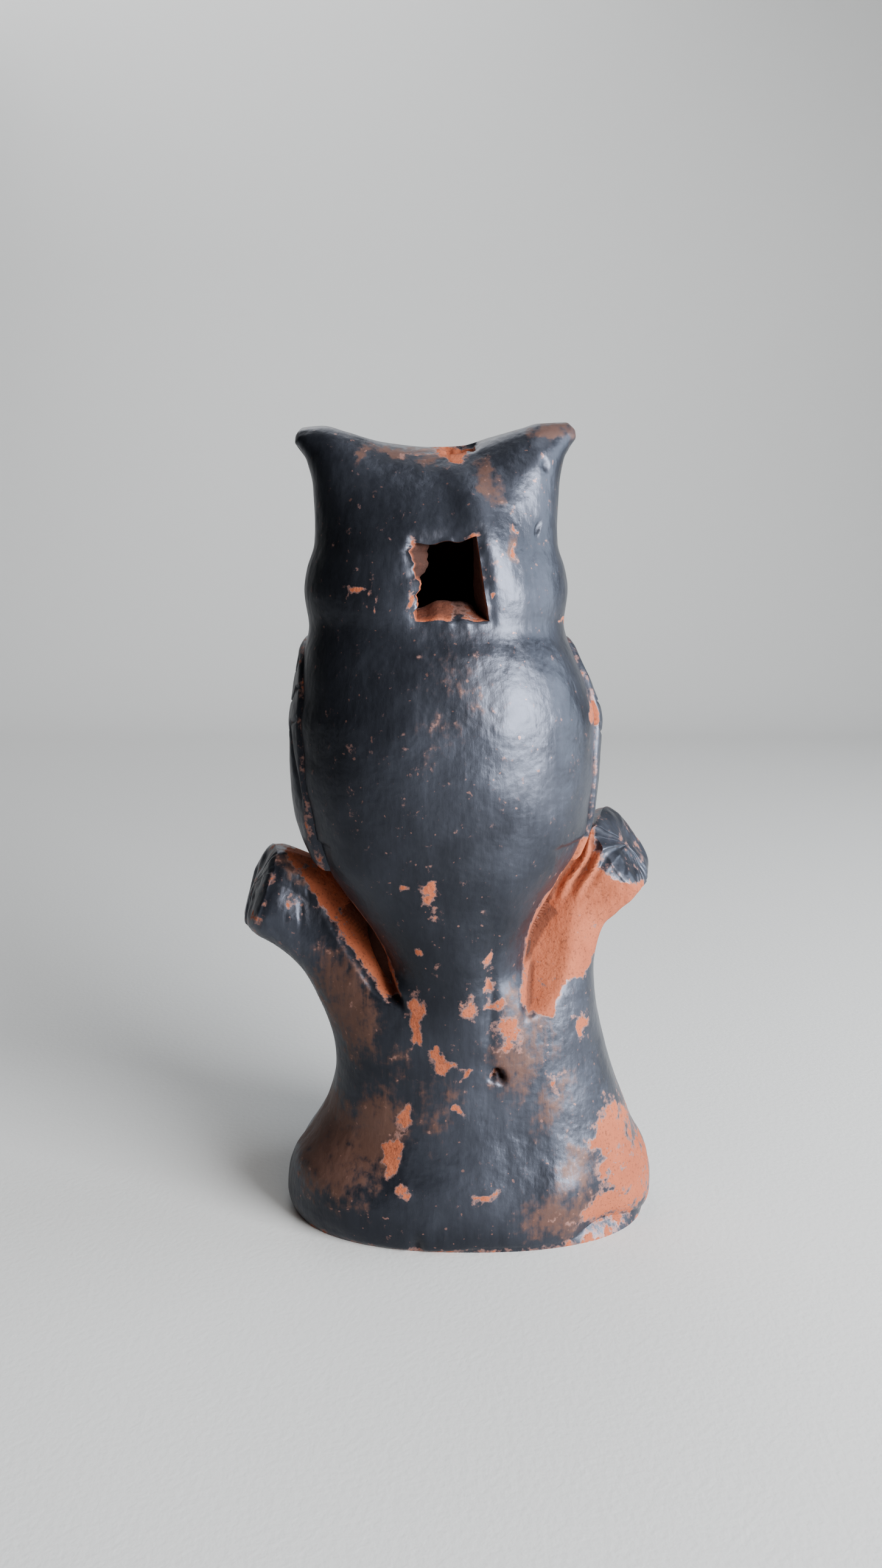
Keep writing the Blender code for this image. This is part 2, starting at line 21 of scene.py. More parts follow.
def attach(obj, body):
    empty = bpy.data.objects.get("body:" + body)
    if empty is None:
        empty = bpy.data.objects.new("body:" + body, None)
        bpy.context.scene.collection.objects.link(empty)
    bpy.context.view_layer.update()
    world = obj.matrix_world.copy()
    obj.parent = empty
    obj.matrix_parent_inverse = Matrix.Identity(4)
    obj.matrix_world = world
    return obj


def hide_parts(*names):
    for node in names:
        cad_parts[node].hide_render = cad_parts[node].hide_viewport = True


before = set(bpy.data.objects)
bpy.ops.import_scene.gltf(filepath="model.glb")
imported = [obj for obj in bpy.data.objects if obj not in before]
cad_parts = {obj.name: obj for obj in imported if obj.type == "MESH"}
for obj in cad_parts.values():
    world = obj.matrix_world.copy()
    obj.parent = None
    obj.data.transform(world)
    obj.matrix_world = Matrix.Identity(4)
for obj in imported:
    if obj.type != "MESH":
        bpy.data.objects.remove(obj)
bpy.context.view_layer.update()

log = logging.getLogger("owl")
MM = 0.001
BODY = "root"
Array = np.ndarray


class Slot(Enum):
    """The record's material slot for the new pieces, handed to settle, which does not use it."""

    GRAPHITE = "graphite_finish"


class Side(Enum):
    """The owl's own left (+X) and right (-X)."""

    LEFT = 1
    RIGHT = -1

    @property
    def word(self) -> str:
        """The side's name in lower case, as node names begin."""
        return self.name.lower()


# ---------------------------------------------------------------- curves, noise and blends


def hermite(values: Array, slope: Array, k: Array, gap: Array | float, t: Array) -> Array:
    """Cubic Hermite within stretch k.

    Args:
        values: Value at each station.
        slope: Slope at each station.
        k: Index of each stretch's first station.
        gap: Length of each stretch.
        t: Share of the stretch, 0 to 1.

    Returns:
        One value for each k.
    """
    return (
        values[k] * (1 + 2 * t) * (1 - t) ** 2
        + slope[k] * gap * t * (1 - t) ** 2
        + values[k + 1] * t * t * (3 - 2 * t)
        + slope[k + 1] * gap * t * t * (t - 1)
    )


def track(stations: Array, values: Array, where: Array) -> Array:
    """A smooth curve through stations that never overshoots them.

    Each stretch is a cubic Hermite whose end slopes are the harmonic mean of the chords' slopes.

    Args:
        stations: Rising positions.
        values: Value at each station.
        where: Positions to read the curve at, held to the stations' range.

    Returns:
        The curve's values, shaped like where.
    """
    gap = np.diff(stations)
    chord = np.diff(values) / gap
    together = chord[:-1] * chord[1:]
    total = chord[:-1] + chord[1:]
    inner = np.where(together > 0, 2 * together / np.where(total == 0, 1, total), 0.0)
    slope = np.concatenate(([chord[0]], inner, [chord[-1]]))
    where = np.clip(where, stations[0], stations[-1])
    k = np.clip(np.searchsorted(stations, where, side="right") - 1, 0, len(gap) - 1)
    return hermite(values, slope, k, gap[k], (where - stations[k]) / gap[k])


def rise(low: float, high: float, value: Array) -> Array:
    """Smoothstep: 0 below low, 1 above high and 3t^2 - 2t^3 between."""
    t = np.clip((value - low) / (high - low), 0.0, 1.0)
    return t * t * (3 - 2 * t)


def soft_max(a: Array, b: Array, soft: float) -> Array:
    """The larger of a and b, rounded where they cross: max + (soft - |a - b|)^2 / 4 soft."""
    over = np.maximum(soft - np.abs(a - b), 0.0)
    return np.maximum(a, b) + over * over / (4 * soft)


def soft_min(a: Array, b: Array, soft: float) -> Array:
    """The smaller of a and b, rounded where they cross."""
    return -soft_max(-a, -b, soft)


def unit(vectors: Array) -> Array:
    """Vectors scaled to length one."""
    return vectors / np.maximum(np.linalg.norm(vectors, axis=-1, keepdims=True), 1e-9)


@dataclass
class ClayNoise:
    """Smooth value noise: a seeded random lattice read with smoothstep weights between its corners."""

    seed: int
    cells: int = 24
    lattice: Array = field(init=False)

    def __post_init__(self) -> None:
        """Fills the lattice from the seed."""
        rng = np.random.default_rng(self.seed)
        self.lattice = rng.uniform(-1, 1, (self.cells,) * 3)

    def read(self, points: Array, wave: float | tuple[float, float, float]) -> Array:
        """Noise between -1 and 1.

        Args:
            points: Positions, with x, y and z last.
            wave: Distance between lattice corners, or one for each axis.

        Returns:
            One value for each point.
        """
        scaled = points / np.asarray(wave, float)
        cell = np.floor(scaled).astype(int)
        part = scaled - cell
        part = part * part * (3 - 2 * part)
        total = np.zeros(points.shape[:-1])
        for corner in np.ndindex(2, 2, 2):
            index = tuple(np.moveaxis((cell + corner) % self.cells, -1, 0))
            weight = np.prod(np.where(corner, part, 1 - part), axis=-1)
            total += weight * self.lattice[index]
        return total


HAND = ClayNoise(seed=11)  # the undulation that fingers leave
TOOL = ClayNoise(seed=23)  # the finer marks of a burnishing tool


def grid_normals(points: Array) -> Array:
    """Unit normals of a grid of points, from the cross product of its two central differences."""
    return unit(np.cross(np.gradient(points, axis=1), np.gradient(points, axis=0)))


def normals_along(points: Array, out: Array) -> Array:
    """Grid normals, turned so that on the whole they agree with out."""
    normals = grid_normals(points)
    return normals * np.sign(np.sum(normals * out, axis=-1).mean())


def tube_grid(rows: int, around: int, reach: float = 1.0) -> tuple[Array, Array]:
    """Two grids of parameters: 0 to reach down the rows, and once round the columns."""
    share = np.linspace(0, reach, rows)
    share, turn = np.meshgrid(share, np.linspace(0, 2 * math.pi, around), indexing="ij")
    return share, turn


def close_tube(points: Array) -> Array:
    """Joins a tube's last column to its first and draws both of its ends to a point."""
    points[:, -1] = points[:, 0]
    points[0], points[-1] = points[0].mean(axis=0), points[-1].mean(axis=0)
    return points


def hand_marks(points: Array) -> Array:
    """What pressing, scraping and rubbing leave on every skin, in millimetres along its normal.

    It is a sum of value noises: long waves from the palm, shorter ones from fingers, and fine upright
    tool marks; the foot is lumpier than the rest.
    """
    foot = 1 - rise(8.0, 26.0, points[..., 2])
    palm = 0.26 * HAND.read(points, (9.0, 9.0, 13.0)) + 0.12 * HAND.read(points + 40.0, 4.6)
    tool = 0.03 * TOOL.read(points, (1.1, 1.1, 4.5))
    return palm + tool + foot * 0.50 * HAND.read(points + 15.0, (11.0, 11.0, 8.0))


def hollowness(points: Array, normals: Array, reach: int = 4) -> Array:
    """How far each grid point lies under the mean of its neighbours, in millimetres; negative on ridges.

    Args:
        points: Grid of positions.
        normals: Outward unit normals.
        reach: How many steps away the neighbours are.

    Returns:
        One depth for each point.
    """
    padded = np.pad(points, ((reach, reach), (reach, reach), (0, 0)), mode="edge")
    rows, cols = points.shape[:2]
    around = (
        padded[: rows, reach : reach + cols]
        + padded[2 * reach :, reach : reach + cols]
        + padded[reach : reach + rows, :cols]
        + padded[reach : reach + rows, 2 * reach :]
    )
    depth = np.sum((around / 4 - points) * normals, axis=-1)
    depth[:reach], depth[-reach:] = depth[reach], depth[-reach - 1]
    depth[:, :reach] = depth[:, reach : reach + 1]
    depth[:, -reach:] = depth[:, -reach - 1 : -reach]
    return depth


# ---------------------------------------------------------------- the modelled form

# Stations: height, half width, depth behind, depth in front, squareness.
OWL = np.array(
    (
        (30.0, 9.4, 10.6, 6.0, 2.0),
        (34.0, 9.7, 12.8, 7.0, 2.1),
        (39.0, 10.2, 14.6, 8.0, 2.2),
        (44.0, 11.2, 16.3, 10.0, 2.3),
        (50.0, 13.1, 17.6, 12.0, 2.3),
        (57.0, 17.4, 19.0, 16.0, 2.2),
        (63.0, 21.7, 20.2, 19.0, 2.2),
        (70.0, 23.4, 21.0, 20.8, 2.2),
        (78.0, 23.9, 21.4, 21.6, 2.2),
        (84.0, 23.9, 21.2, 21.5, 2.2),
        (90.0, 22.8, 20.2, 20.6, 2.2),
        (95.0, 21.4, 18.8, 19.0, 2.2),
        (99.5, 20.3, 17.4, 17.4, 2.2),
        (104.5, 20.8, 17.0, 17.6, 2.3),
        (108.0, 20.3, 16.4, 17.2, 2.3),
        (112.0, 19.1, 15.6, 16.0, 2.3),
        (116.0, 18.8, 14.0, 14.2, 2.3),
        (119.3, 18.9, 12.0, 12.2, 2.4),
        (122.5, 19.8, 9.2, 9.6, 2.6),
        (124.4, 21.1, 6.6, 7.0, 2.8),
        (125.6, 21.8, 4.6, 4.8, 3.0),
        (126.3, 21.7, 2.8, 2.8, 3.0),
        (126.7, 20.6, 0.02, 0.02, 3.0),
    )
)
STUMP = np.array(
    (
        (0.0, 29.9, 17.6, 22.2, 2.3),
        (1.2, 30.9, 18.4, 23.0, 2.3),
        (3.5, 31.4, 18.8, 23.6, 2.3),
        (6.2, 31.2, 18.7, 23.4, 2.3),
        (9.6, 30.2, 18.2, 22.8, 2.3),
        (14.3, 27.4, 17.0, 20.8, 2.3),
        (18.8, 25.4, 16.2, 19.4, 2.2),
        (23.5, 23.8, 15.7, 18.3, 2.2),
        (29.1, 22.6, 15.3, 17.4, 2.2),
        (33.6, 22.0, 14.8, 17.0, 2.3),
        (40.0, 21.2, 13.8, 17.0, 2.5),
        (46.0, 19.8, 13.0, 17.4, 2.5),
        (52.0, 17.6, 12.4, 17.6, 2.4),
        (58.0, 15.0, 11.0, 17.0, 2.2),
        (64.0, 11.0, 8.0, 13.0, 2.2),
        (72.0, 4.0, 3.0, 5.0, 2.2),
        (80.0, 1.0, 1.0, 1.0, 2.0),
    )
)
LEAN = np.array(
    (
        (0.0, 0.0), (9.6, -0.2), (18.8, -1.1), (29.1, -0.4), (46.0, 2.4), (57.0, 3.8), (63.0, 4.1),
        (86.0, 4.1), (99.5, 5.5), (126.7, 5.7),
    )
)
# How far the crest is pulled up at the owl's right tuft, the dip and the left tuft: way out, rise.
TUFTS = np.array(
    (
        (-22.0, 2.8), (-20.2, 3.7), (-15.8, 3.5), (-13.7, 2.9), (-8.3, 1.4), (-4.0, 0.2),
        (0.3, 0.0), (7.8, 0.7), (13.2, 2.1), (17.5, 3.2), (20.7, 2.9), (22.0, 1.8),
    )
)
# The valleys gouged beside the tail: height, depth kept at the flank, slope outwards.
LEFT_VALLEY = np.array(
    (
        (36.0, 17.0, 1.0),
        (39.5, 13.5, 1.0),
        (41.0, 9.6, 1.0),
        (44.0, 5.4, 1.2),
        (52.0, 1.4, 0.86),
        (58.0, 0.0, 1.15),
        (62.0, -1.6, 0.8),
        (75.0, -4.0, 0.8),
    )
)
RIGHT_VALLEY = np.array(
    (
        (34.0, 17.5, 0.3),
        (37.5, 14.0, 0.25),
        (40.0, 10.6, 0.25),
        (45.0, 7.2, 0.25),
        (52.0, 4.2, 0.25),
        (58.0, 2.2, 0.25),
        (63.0, 0.6, 0.3),
        (75.0, -2.0, 0.3),
    )
)


class FigureForm:
    """The owl and the stump as stacked superellipses, joined by the soft maximum of their radii.

    A level is a distance along the back's profile, so that sections crowd together over the crest.
    """

    wall = 4.0
    tufts_from = 108.0
    ceiling = 121.0
    limb_blend = 8.0

    def __init__(self) -> None:
        """Measures the back's profile to get the levels."""
        steps = np.hypot(np.diff(OWL[:, 0]), np.diff(OWL[:, 2]))
        self.levels = np.concatenate(([0.0], OWL[0, 0] + np.concatenate(([0.0], np.cumsum(steps)))))
        self.owl_rows = np.vstack((OWL[:1], OWL))
        self.owl_rows[0, 0] = 0.0
        self.top = float(self.levels[-1])
        self.dense = np.linspace(0.0, self.top, 3000)
        self.dense_z = self.column(self.dense, 0)

    def column(self, level: Array, which: int) -> Array:
        """One column of the owl's stations at each level."""
        return track(self.levels, self.owl_rows[:, which], level)

    def level_at(self, z: Array) -> Array:
        """The level of a height."""
        return np.interp(z, self.dense_z, self.dense)

    @staticmethod
    def lean(z: Array) -> Array:
        """Sideways shift of a section."""
        return track(LEAN[:, 0], LEAN[:, 1], z)

    def middle(self, z: float) -> float:
        """X of the figure's middle at one height."""
        return float(self.lean(np.array(z)))

    @staticmethod
    def stump_rows(z: Array) -> list[Array]:
        """The stump's half width, depth behind, depth in front and squareness."""
        return [track(STUMP[:, 0], STUMP[:, k], z) for k in range(1, 5)]

    @staticmethod
    def superellipse(angle: Array, half: Array, depth: Array, power: Array) -> Array:
        """Radius (|cos/half|^p + |sin/depth|^p)^(-1/p)."""
        across = np.abs(np.cos(angle)) / np.maximum(half, 0.02)
        along = np.abs(np.sin(angle)) / np.maximum(depth, 0.02)
        return (across**power + along**power) ** (-1.0 / power)

    def radius(self, level: Array, angle: Array, grow: float = 0.0) -> Array:
        """Distance from the leaning axis to the surface in one direction.

        Args:
            level: Levels of the sections.
            angle: Directions, anticlockwise from the owl's left.
            grow: How far the sections are grown, or shrunk where negative.

        Returns:
            The soft maximum of the owl's and the stump's radii.
        """
        z = self.column(level, 0)
        back = np.sin(angle) >= 0
        sink = 0.5 * np.maximum(OWL[0, 0] - z, 0.0)
        depth = np.where(back, self.column(level, 2), self.column(level, 3))
        half = self.column(level, 1)
        power = self.column(level, 4)
        owl = self.superellipse(angle, half - sink + grow, depth - sink + grow, power)
        base = self.stump_rows(z)
        base_depth = np.where(back, base[1], base[2])
        stump = self.superellipse(angle, base[0] + grow, base_depth + grow, base[3])
        return soft_max(owl, stump, 7.0 - 6.0 * rise(38.0, 48.0, z))

    def angles(self, level: Array, turn: Array) -> Array:
        """Directions spaced evenly round an ellipse of the section's own proportions."""
        z = self.column(level, 0)
        blend = rise(46.0, 62.0, z)
        side = np.sin(turn) >= 0
        owl_depth = np.where(side, self.column(level, 2), self.column(level, 3))
        stump_half, behind, front, _ = self.stump_rows(z)
        half = self.column(level, 1) * blend + stump_half * (1 - blend)
        stump_depth = np.where(side, behind, front)
        depth = owl_depth * blend + stump_depth * (1 - blend)
        return np.arctan2(depth * np.sin(turn), half * np.cos(turn))

    def lift(self, x: Array, z: Array) -> Array:
        """How far the ear tufts raise a point: the crest's rise times the height's share squared."""
        share = np.clip((z - self.tufts_from) / (OWL[-1, 0] - self.tufts_from), 0.0, 1.0)
        return track(TUFTS[:, 0], TUFTS[:, 1], x) * share**2

    def unlifted(self, x: Array, z: Array) -> Array:
        """The height that a point had before the tufts raised it, by four steps of substitution."""
        low = z
        for _ in range(4):
            low = z - self.lift(x - self.lean(low), low)
        return low

    def points(self, level: Array, angle: Array, grow: float = 0.0) -> Array:
        """Positions on the form at levels and directions."""
        radius = self.radius(level, angle, grow)
        z = self.column(level, 0)
        x = radius * np.cos(angle)
        y = radius * np.sin(angle)
        return np.stack((self.lean(z) + x, y, z + self.lift(x, z)), axis=-1)

    def owl_depth(self, x: Array, z: Array, front: bool = False) -> Array:
        """How far the owl alone reaches behind or in front at x and z, 0 beyond its flanks."""
        level = self.level_at(z)
        out = np.abs(x - self.lean(z)) / self.column(level, 1)
        power = self.column(level, 4)
        inside = np.maximum(1 - out**power, 0.0)
        return self.column(level, 3 if front else 2) * inside ** (1 / power)

    def stump_outside(self, points: Array) -> Array:
        """Roughly how far points lie outside the stump alone, negative inside."""
        z = points[..., 2]
        x, y = points[..., 0] - self.lean(z), points[..., 1]
        half, behind, front, power = self.stump_rows(z)
        depth = np.where(y >= 0, behind, front)
        return np.hypot(x, y) - self.superellipse(np.arctan2(y, x), half, depth, power)

    def owl_outside(self, points: Array) -> Array:
        """Roughly how far points lie outside the owl alone, negative inside."""
        z = points[..., 2]
        x, y = points[..., 0] - self.lean(z), points[..., 1]
        level = self.level_at(z)
        depth = np.where(y >= 0, self.column(level, 2), self.column(level, 3))
        half, power = self.column(level, 1), self.column(level, 4)
        return np.hypot(x, y) - self.superellipse(np.arctan2(y, x), half, depth, power)

    def joined(
        self, points: Array, out: Array, limb: "LimbPath", from_limb: bool
    ) -> tuple[Array, Array]:
        """Moves points out to the smooth union of the stump and a limb.

        Four steps along out bring the soft minimum of the two distances to zero. Points deep in the
        other shape stay, and those just inside its territory sink a little so that one skin covers
        the other.

        Args:
            points: Positions on the stump or on the limb.
            out: Unit directions to move along.
            limb: The limb.
            from_limb: True where the points are the limb's own.

        Returns:
            The moved points, and how far each is sunk.
        """
        own, other = self.stump_outside, limb.outside
        if from_limb:
            own, other = other, own
        deep = -other(points)
        moved = points.copy()
        for _ in range(4):
            gap = soft_min(own(moved), other(moved), self.limb_blend)
            moved = moved - out * np.minimum(gap, 0.0)[..., None]
        sunk = 0.5 * rise(0.0, 3.0, own(moved) - other(moved))
        share = (1 - rise(2.5, 6.0, deep)) * (1 - rise(4.0, 7.0, np.linalg.norm(moved - points, axis=-1)))
        if not from_limb:
            share = share * rise(0.0, 1.5, self.owl_outside(points))
        moved = points + (moved - points) * share[..., None] - out * sunk[..., None]
        return moved, sunk

    def valley(self, x: Array, z: Array) -> Array:
        """The depth that the gouged valleys leave: a value at the flank plus a slope outwards.

        The right valley's upper end keeps the gouge's ridges, which run along the branch.
        """
        out = x - self.lean(z)
        beyond = np.abs(out) - self.column(self.level_at(z), 1)
        left = track(LEFT_VALLEY[:, 0], LEFT_VALLEY[:, 1], z)
        left = left + track(LEFT_VALLEY[:, 0], LEFT_VALLEY[:, 2], z) * beyond
        right = track(RIGHT_VALLEY[:, 0], RIGHT_VALLEY[:, 1], z)
        right = right + track(RIGHT_VALLEY[:, 0], RIGHT_VALLEY[:, 2], z) * beyond
        where = np.stack((x, 0.0 * x, z), axis=-1)
        gouges = np.sin(beyond * 2.6 + 0.25 * z + 1.6 * HAND.read(where, (3.0, 3.0, 9.0)))
        gouges = gouges * rise(0.0, 1.5, beyond) * (1 - rise(4.0, 7.5, beyond))
        right = right + 0.55 * gouges * rise(53.0, 59.0, z)
        return np.where(out > 0, left, right)

    def carve(self, points: Array, sunk: Array | float = 0.0) -> Array:
        """Points behind the valleys' surface are pressed forward on to it, and the owl itself is left."""
        x, y, z = np.moveaxis(points, -1, 0)
        keep = soft_max(self.owl_depth(x, z), self.valley(x, z), 0.8) - sunk
        pressed = soft_min(y, keep, 0.8)
        beyond = np.abs(x - self.lean(z)) - self.column(self.level_at(z), 1)
        active = rise(33.0, 38.0, z) * (1 - rise(66.0, 74.0, z)) * rise(0.0, 1.0, y)
        active = active * np.maximum(rise(-1.5, 0.5, beyond), rise(42.0, 47.0, z))
        carved = points.copy()
        carved[..., 1] = np.maximum(y + (pressed - y) * active, np.minimum(y, 0.0))
        return carved


@dataclass(frozen=True)
class LimbPath:
    """The course of a lopped branch: stations of centre, half width and half depth, its cut and roll."""

    side: Side
    stations: tuple[tuple[tuple[float, float, float], float, float], ...]
    cut_turn: float
    cut_back: float
    roll: float = 0.0
    squareness: float = 3.2

    def sections(self, share: Array) -> tuple[Array, Array, Array, Array, Array, Array]:
        """Centres, half widths, half depths, and the across, deep and ahead directions.

        Args:
            share: Places along the branch, from 0 at the root to 1 at the cut.

        Returns:
            One row for each place.
        """
        centres = np.array([station[0] for station in self.stations])
        sizes = np.array([station[1:] for station in self.stations])
        steps = np.linalg.norm(np.diff(centres, axis=0), axis=1)
        place = np.concatenate(([0.0], np.cumsum(steps))) / steps.sum()
        centre = np.stack([track(place, centres[:, k], share) for k in range(3)], axis=-1)
        ahead = unit(np.gradient(centre, axis=0))
        across = unit(np.cross(ahead, np.array((0.0, 1.0, 0.0))))
        tilt = np.radians(self.cut_turn) * rise(0.15, 0.95, share)
        c, s = np.cos(tilt), np.sin(tilt)
        turned = np.stack(
            (across[:, 0] * c + across[:, 2] * s, 0.0 * c, across[:, 2] * c - across[:, 0] * s), axis=-1
        )
        deep = unit(np.cross(turned, ahead))
        roll = np.radians(self.roll) * rise(0.25, 0.6, share)[:, None]
        turned, deep = (
            turned * np.cos(roll) - deep * np.sin(roll),
            deep * np.cos(roll) + turned * np.sin(roll),
        )
        half, depth = (track(place, sizes[:, k], share) for k in range(2))
        return centre, half, depth, turned, deep, ahead

    def outside(self, points: Array) -> Array:
        """Roughly how far points lie outside the branch, measured in the plane of the nearest section."""
        centre, half, depth, across, deep, _ = self.sections(np.linspace(0.0, 1.0, 60))
        flat = points.reshape(-1, 3)
        apart = np.stack([((flat - middle) ** 2).sum(axis=1) for middle in centre], axis=1)
        near = np.argmin(apart, axis=1)
        away = flat - centre[near]
        u, v = (away * across[near]).sum(axis=1), (away * deep[near]).sum(axis=1)
        power = np.array(self.squareness)
        edge = FigureForm.superellipse(np.arctan2(v, u), half[near], depth[near], power)
        return (np.hypot(u, v) - edge).reshape(points.shape[:-1])


FORM = FigureForm()
LIMBS = (
    LimbPath(
        Side.LEFT,
        (
            ((9.0, -2.0, 33.0), 8.6, 8.6),
            ((16.5, -2.2, 41.5), 8.3, 8.4),
            ((23.3, -2.0, 48.4), 8.0, 8.0),
            ((29.4, -1.8, 52.9), 7.9, 7.8),
            ((33.6, -1.6, 55.2), 7.8, 7.7),
            ((35.0, -1.6, 55.9), 7.6, 7.5),
        ),
        5.0,
        0.20,
        16.0,
    ),
    LimbPath(
        Side.RIGHT,
        (
            ((-6.0, -2.0, 33.0), 8.0, 8.2),
            ((-11.6, -2.6, 44.0), 7.2, 8.0),
            ((-17.2, -3.0, 53.6), 6.8, 7.8),
            ((-21.4, -3.2, 58.0), 7.2, 7.8),
            ((-24.8, -3.2, 61.0), 7.4, 7.7),
            ((-25.8, -3.2, 61.9), 7.3, 7.5),
        ),
        -5.0,
        0.38,
    ),
)


# ---------------------------------------------------------------- marks in the clay and the slip


@dataclass(frozen=True)
class Mark:
    """A soft-edged oval on the back or the front: where it is, how big, how strong and how it is turned."""

    x: float
    z: float
    wide: float
    high: float
    amount: float
    turn: float = 0.0
    back: bool = True

    def weight(self, points: Array) -> Array:
        """exp(-d^2) of the oval's own distance d, zero on the other side of the figure."""
        squared = self.squared(points)
        return np.exp(-squared) * self.facing(points)

    def stain(self, points: Array) -> Array:
        """exp(-0.5 d^3): flatter within the oval and steeper at its edge."""
        return np.exp(-0.5 * self.squared(points) ** 1.5) * self.facing(points)

    def facing(self, points: Array) -> Array:
        """1 on the mark's own side of the figure. A back mark fades out over the seam."""
        y = points[..., 1]
        return rise(-5.0, 0.0, y) if self.back else (y < 0.0) * 1.0

    def squared(self, points: Array) -> Array:
        """The square of the distance from the middle, 1 on the oval."""
        dx, dz = points[..., 0] - self.x, points[..., 2] - self.z
        c, s = math.cos(math.radians(self.turn)), math.sin(math.radians(self.turn))
        along, across = dx * c + dz * s, dz * c - dx * s
        return (along / self.wide) ** 2 + (across / self.high) ** 2


@dataclass(frozen=True)
class Patch:
    """An area on the back with its own outline of x and z corners, soft at its edge."""

    corners: tuple[tuple[float, float], ...]
    soft: float = 0.7
    amount: float = 1.0

    def stain(self, points: Array) -> Array:
        """Smoothstep of the distance inside the outline, found from its nearest edge."""
        place = points[..., [0, 2]]
        ends = np.array(self.corners)
        nearest = np.full(points.shape[:-1], 1e9)
        inside = np.zeros(points.shape[:-1], bool)
        for start, stop in zip(ends, np.roll(ends, -1, axis=0)):
            edge = stop - start
            along = np.clip(((place - start) @ edge) / (edge @ edge), 0, 1)
            nearest = np.minimum(nearest, np.linalg.norm(place - start - along[..., None] * edge, axis=-1))
            crosses = (start[1] > place[..., 1]) != (stop[1] > place[..., 1])
            at = start[0] + (place[..., 1] - start[1]) * edge[0] / (edge[1] if edge[1] else 1e-9)
            inside ^= crosses & (place[..., 0] < at)
        depth = np.where(inside, nearest, -nearest)
        return rise(-self.soft, self.soft, depth) * rise(-7.0, -0.5, points[..., 1])


def total_of(marks: Sequence[Mark], points: Array) -> Array:
    """Sum of marks, each times its amount."""
    return sum((mark.amount * mark.weight(points) for mark in marks), np.zeros(points.shape[:-1]))


def most_of(marks: Sequence[Mark | Patch], points: Array) -> Array:
    """The strongest mark at each point."""
    found = np.zeros(points.shape[:-1])
    for mark in marks:
        found = np.maximum(found, mark.amount * mark.stain(points))
    return found


# Raised or sunken places, in millimetres along the surface's normal.
BACK_RELIEF = (
    Mark(-0.6, 115.0, 2.8, 8.0, 0.95, -22.0),  # the ridge from the crest past the window
    Mark(-9.0, 112.0, 3.2, 9.0, -0.45, -12.0),  # the flat beside it
    Mark(4.5, 115.6, 8.5, 3.6, -0.75),  # the pressed hollow over the window
    Mark(5.0, 121.5, 11.0, 4.0, -0.7),  # between the tufts
    Mark(22.0, 123.0, 4.0, 8.0, 0.45, 25.0),
    Mark(-11.0, 123.0, 4.0, 8.0, 0.45, -25.0),
    Mark(6.0, 98.6, 15.0, 2.2, -0.3),  # nape
    Mark(-3.0, 42.0, 0.9, 10.0, -0.55, 2.0),  # crease down the tail
    Mark(1.5, 42.0, 3.0, 11.0, 0.35),
    Mark(-6.4, 39.0, 2.2, 9.0, 0.3),
    Mark(-10.7, 123.4, 0.45, 0.8, -0.55, -20.0),
    Mark(-9.9, 114.2, 0.3, 0.9, -0.5, 15.0),
    Mark(8.6, 1.2, 1.0, 2.0, -0.9),  # nick in the foot's rim
    Mark(-23.0, 1.0, 6.0, 11.0, -2.6),  # the foot's flattened corner
    Mark(27.0, 10.0, 5.0, 3.0, 0.7),  # root swelling
    Mark(18.0, 15.0, 6.0, 5.0, -0.6),
    Mark(-9.0, 17.0, 5.0, 8.0, -0.35),
    Mark(4.0, 20.0, 5.0, 9.0, 0.35),
)
PUNCTURE = (
    Mark(-4.2, 29.7, 0.75, 0.55, -2.2, 20.0),
    Mark(-4.9, 28.6, 0.55, 0.65, -2.2, -20.0),
    Mark(-3.6, 28.8, 0.55, 0.5, -1.8),
)
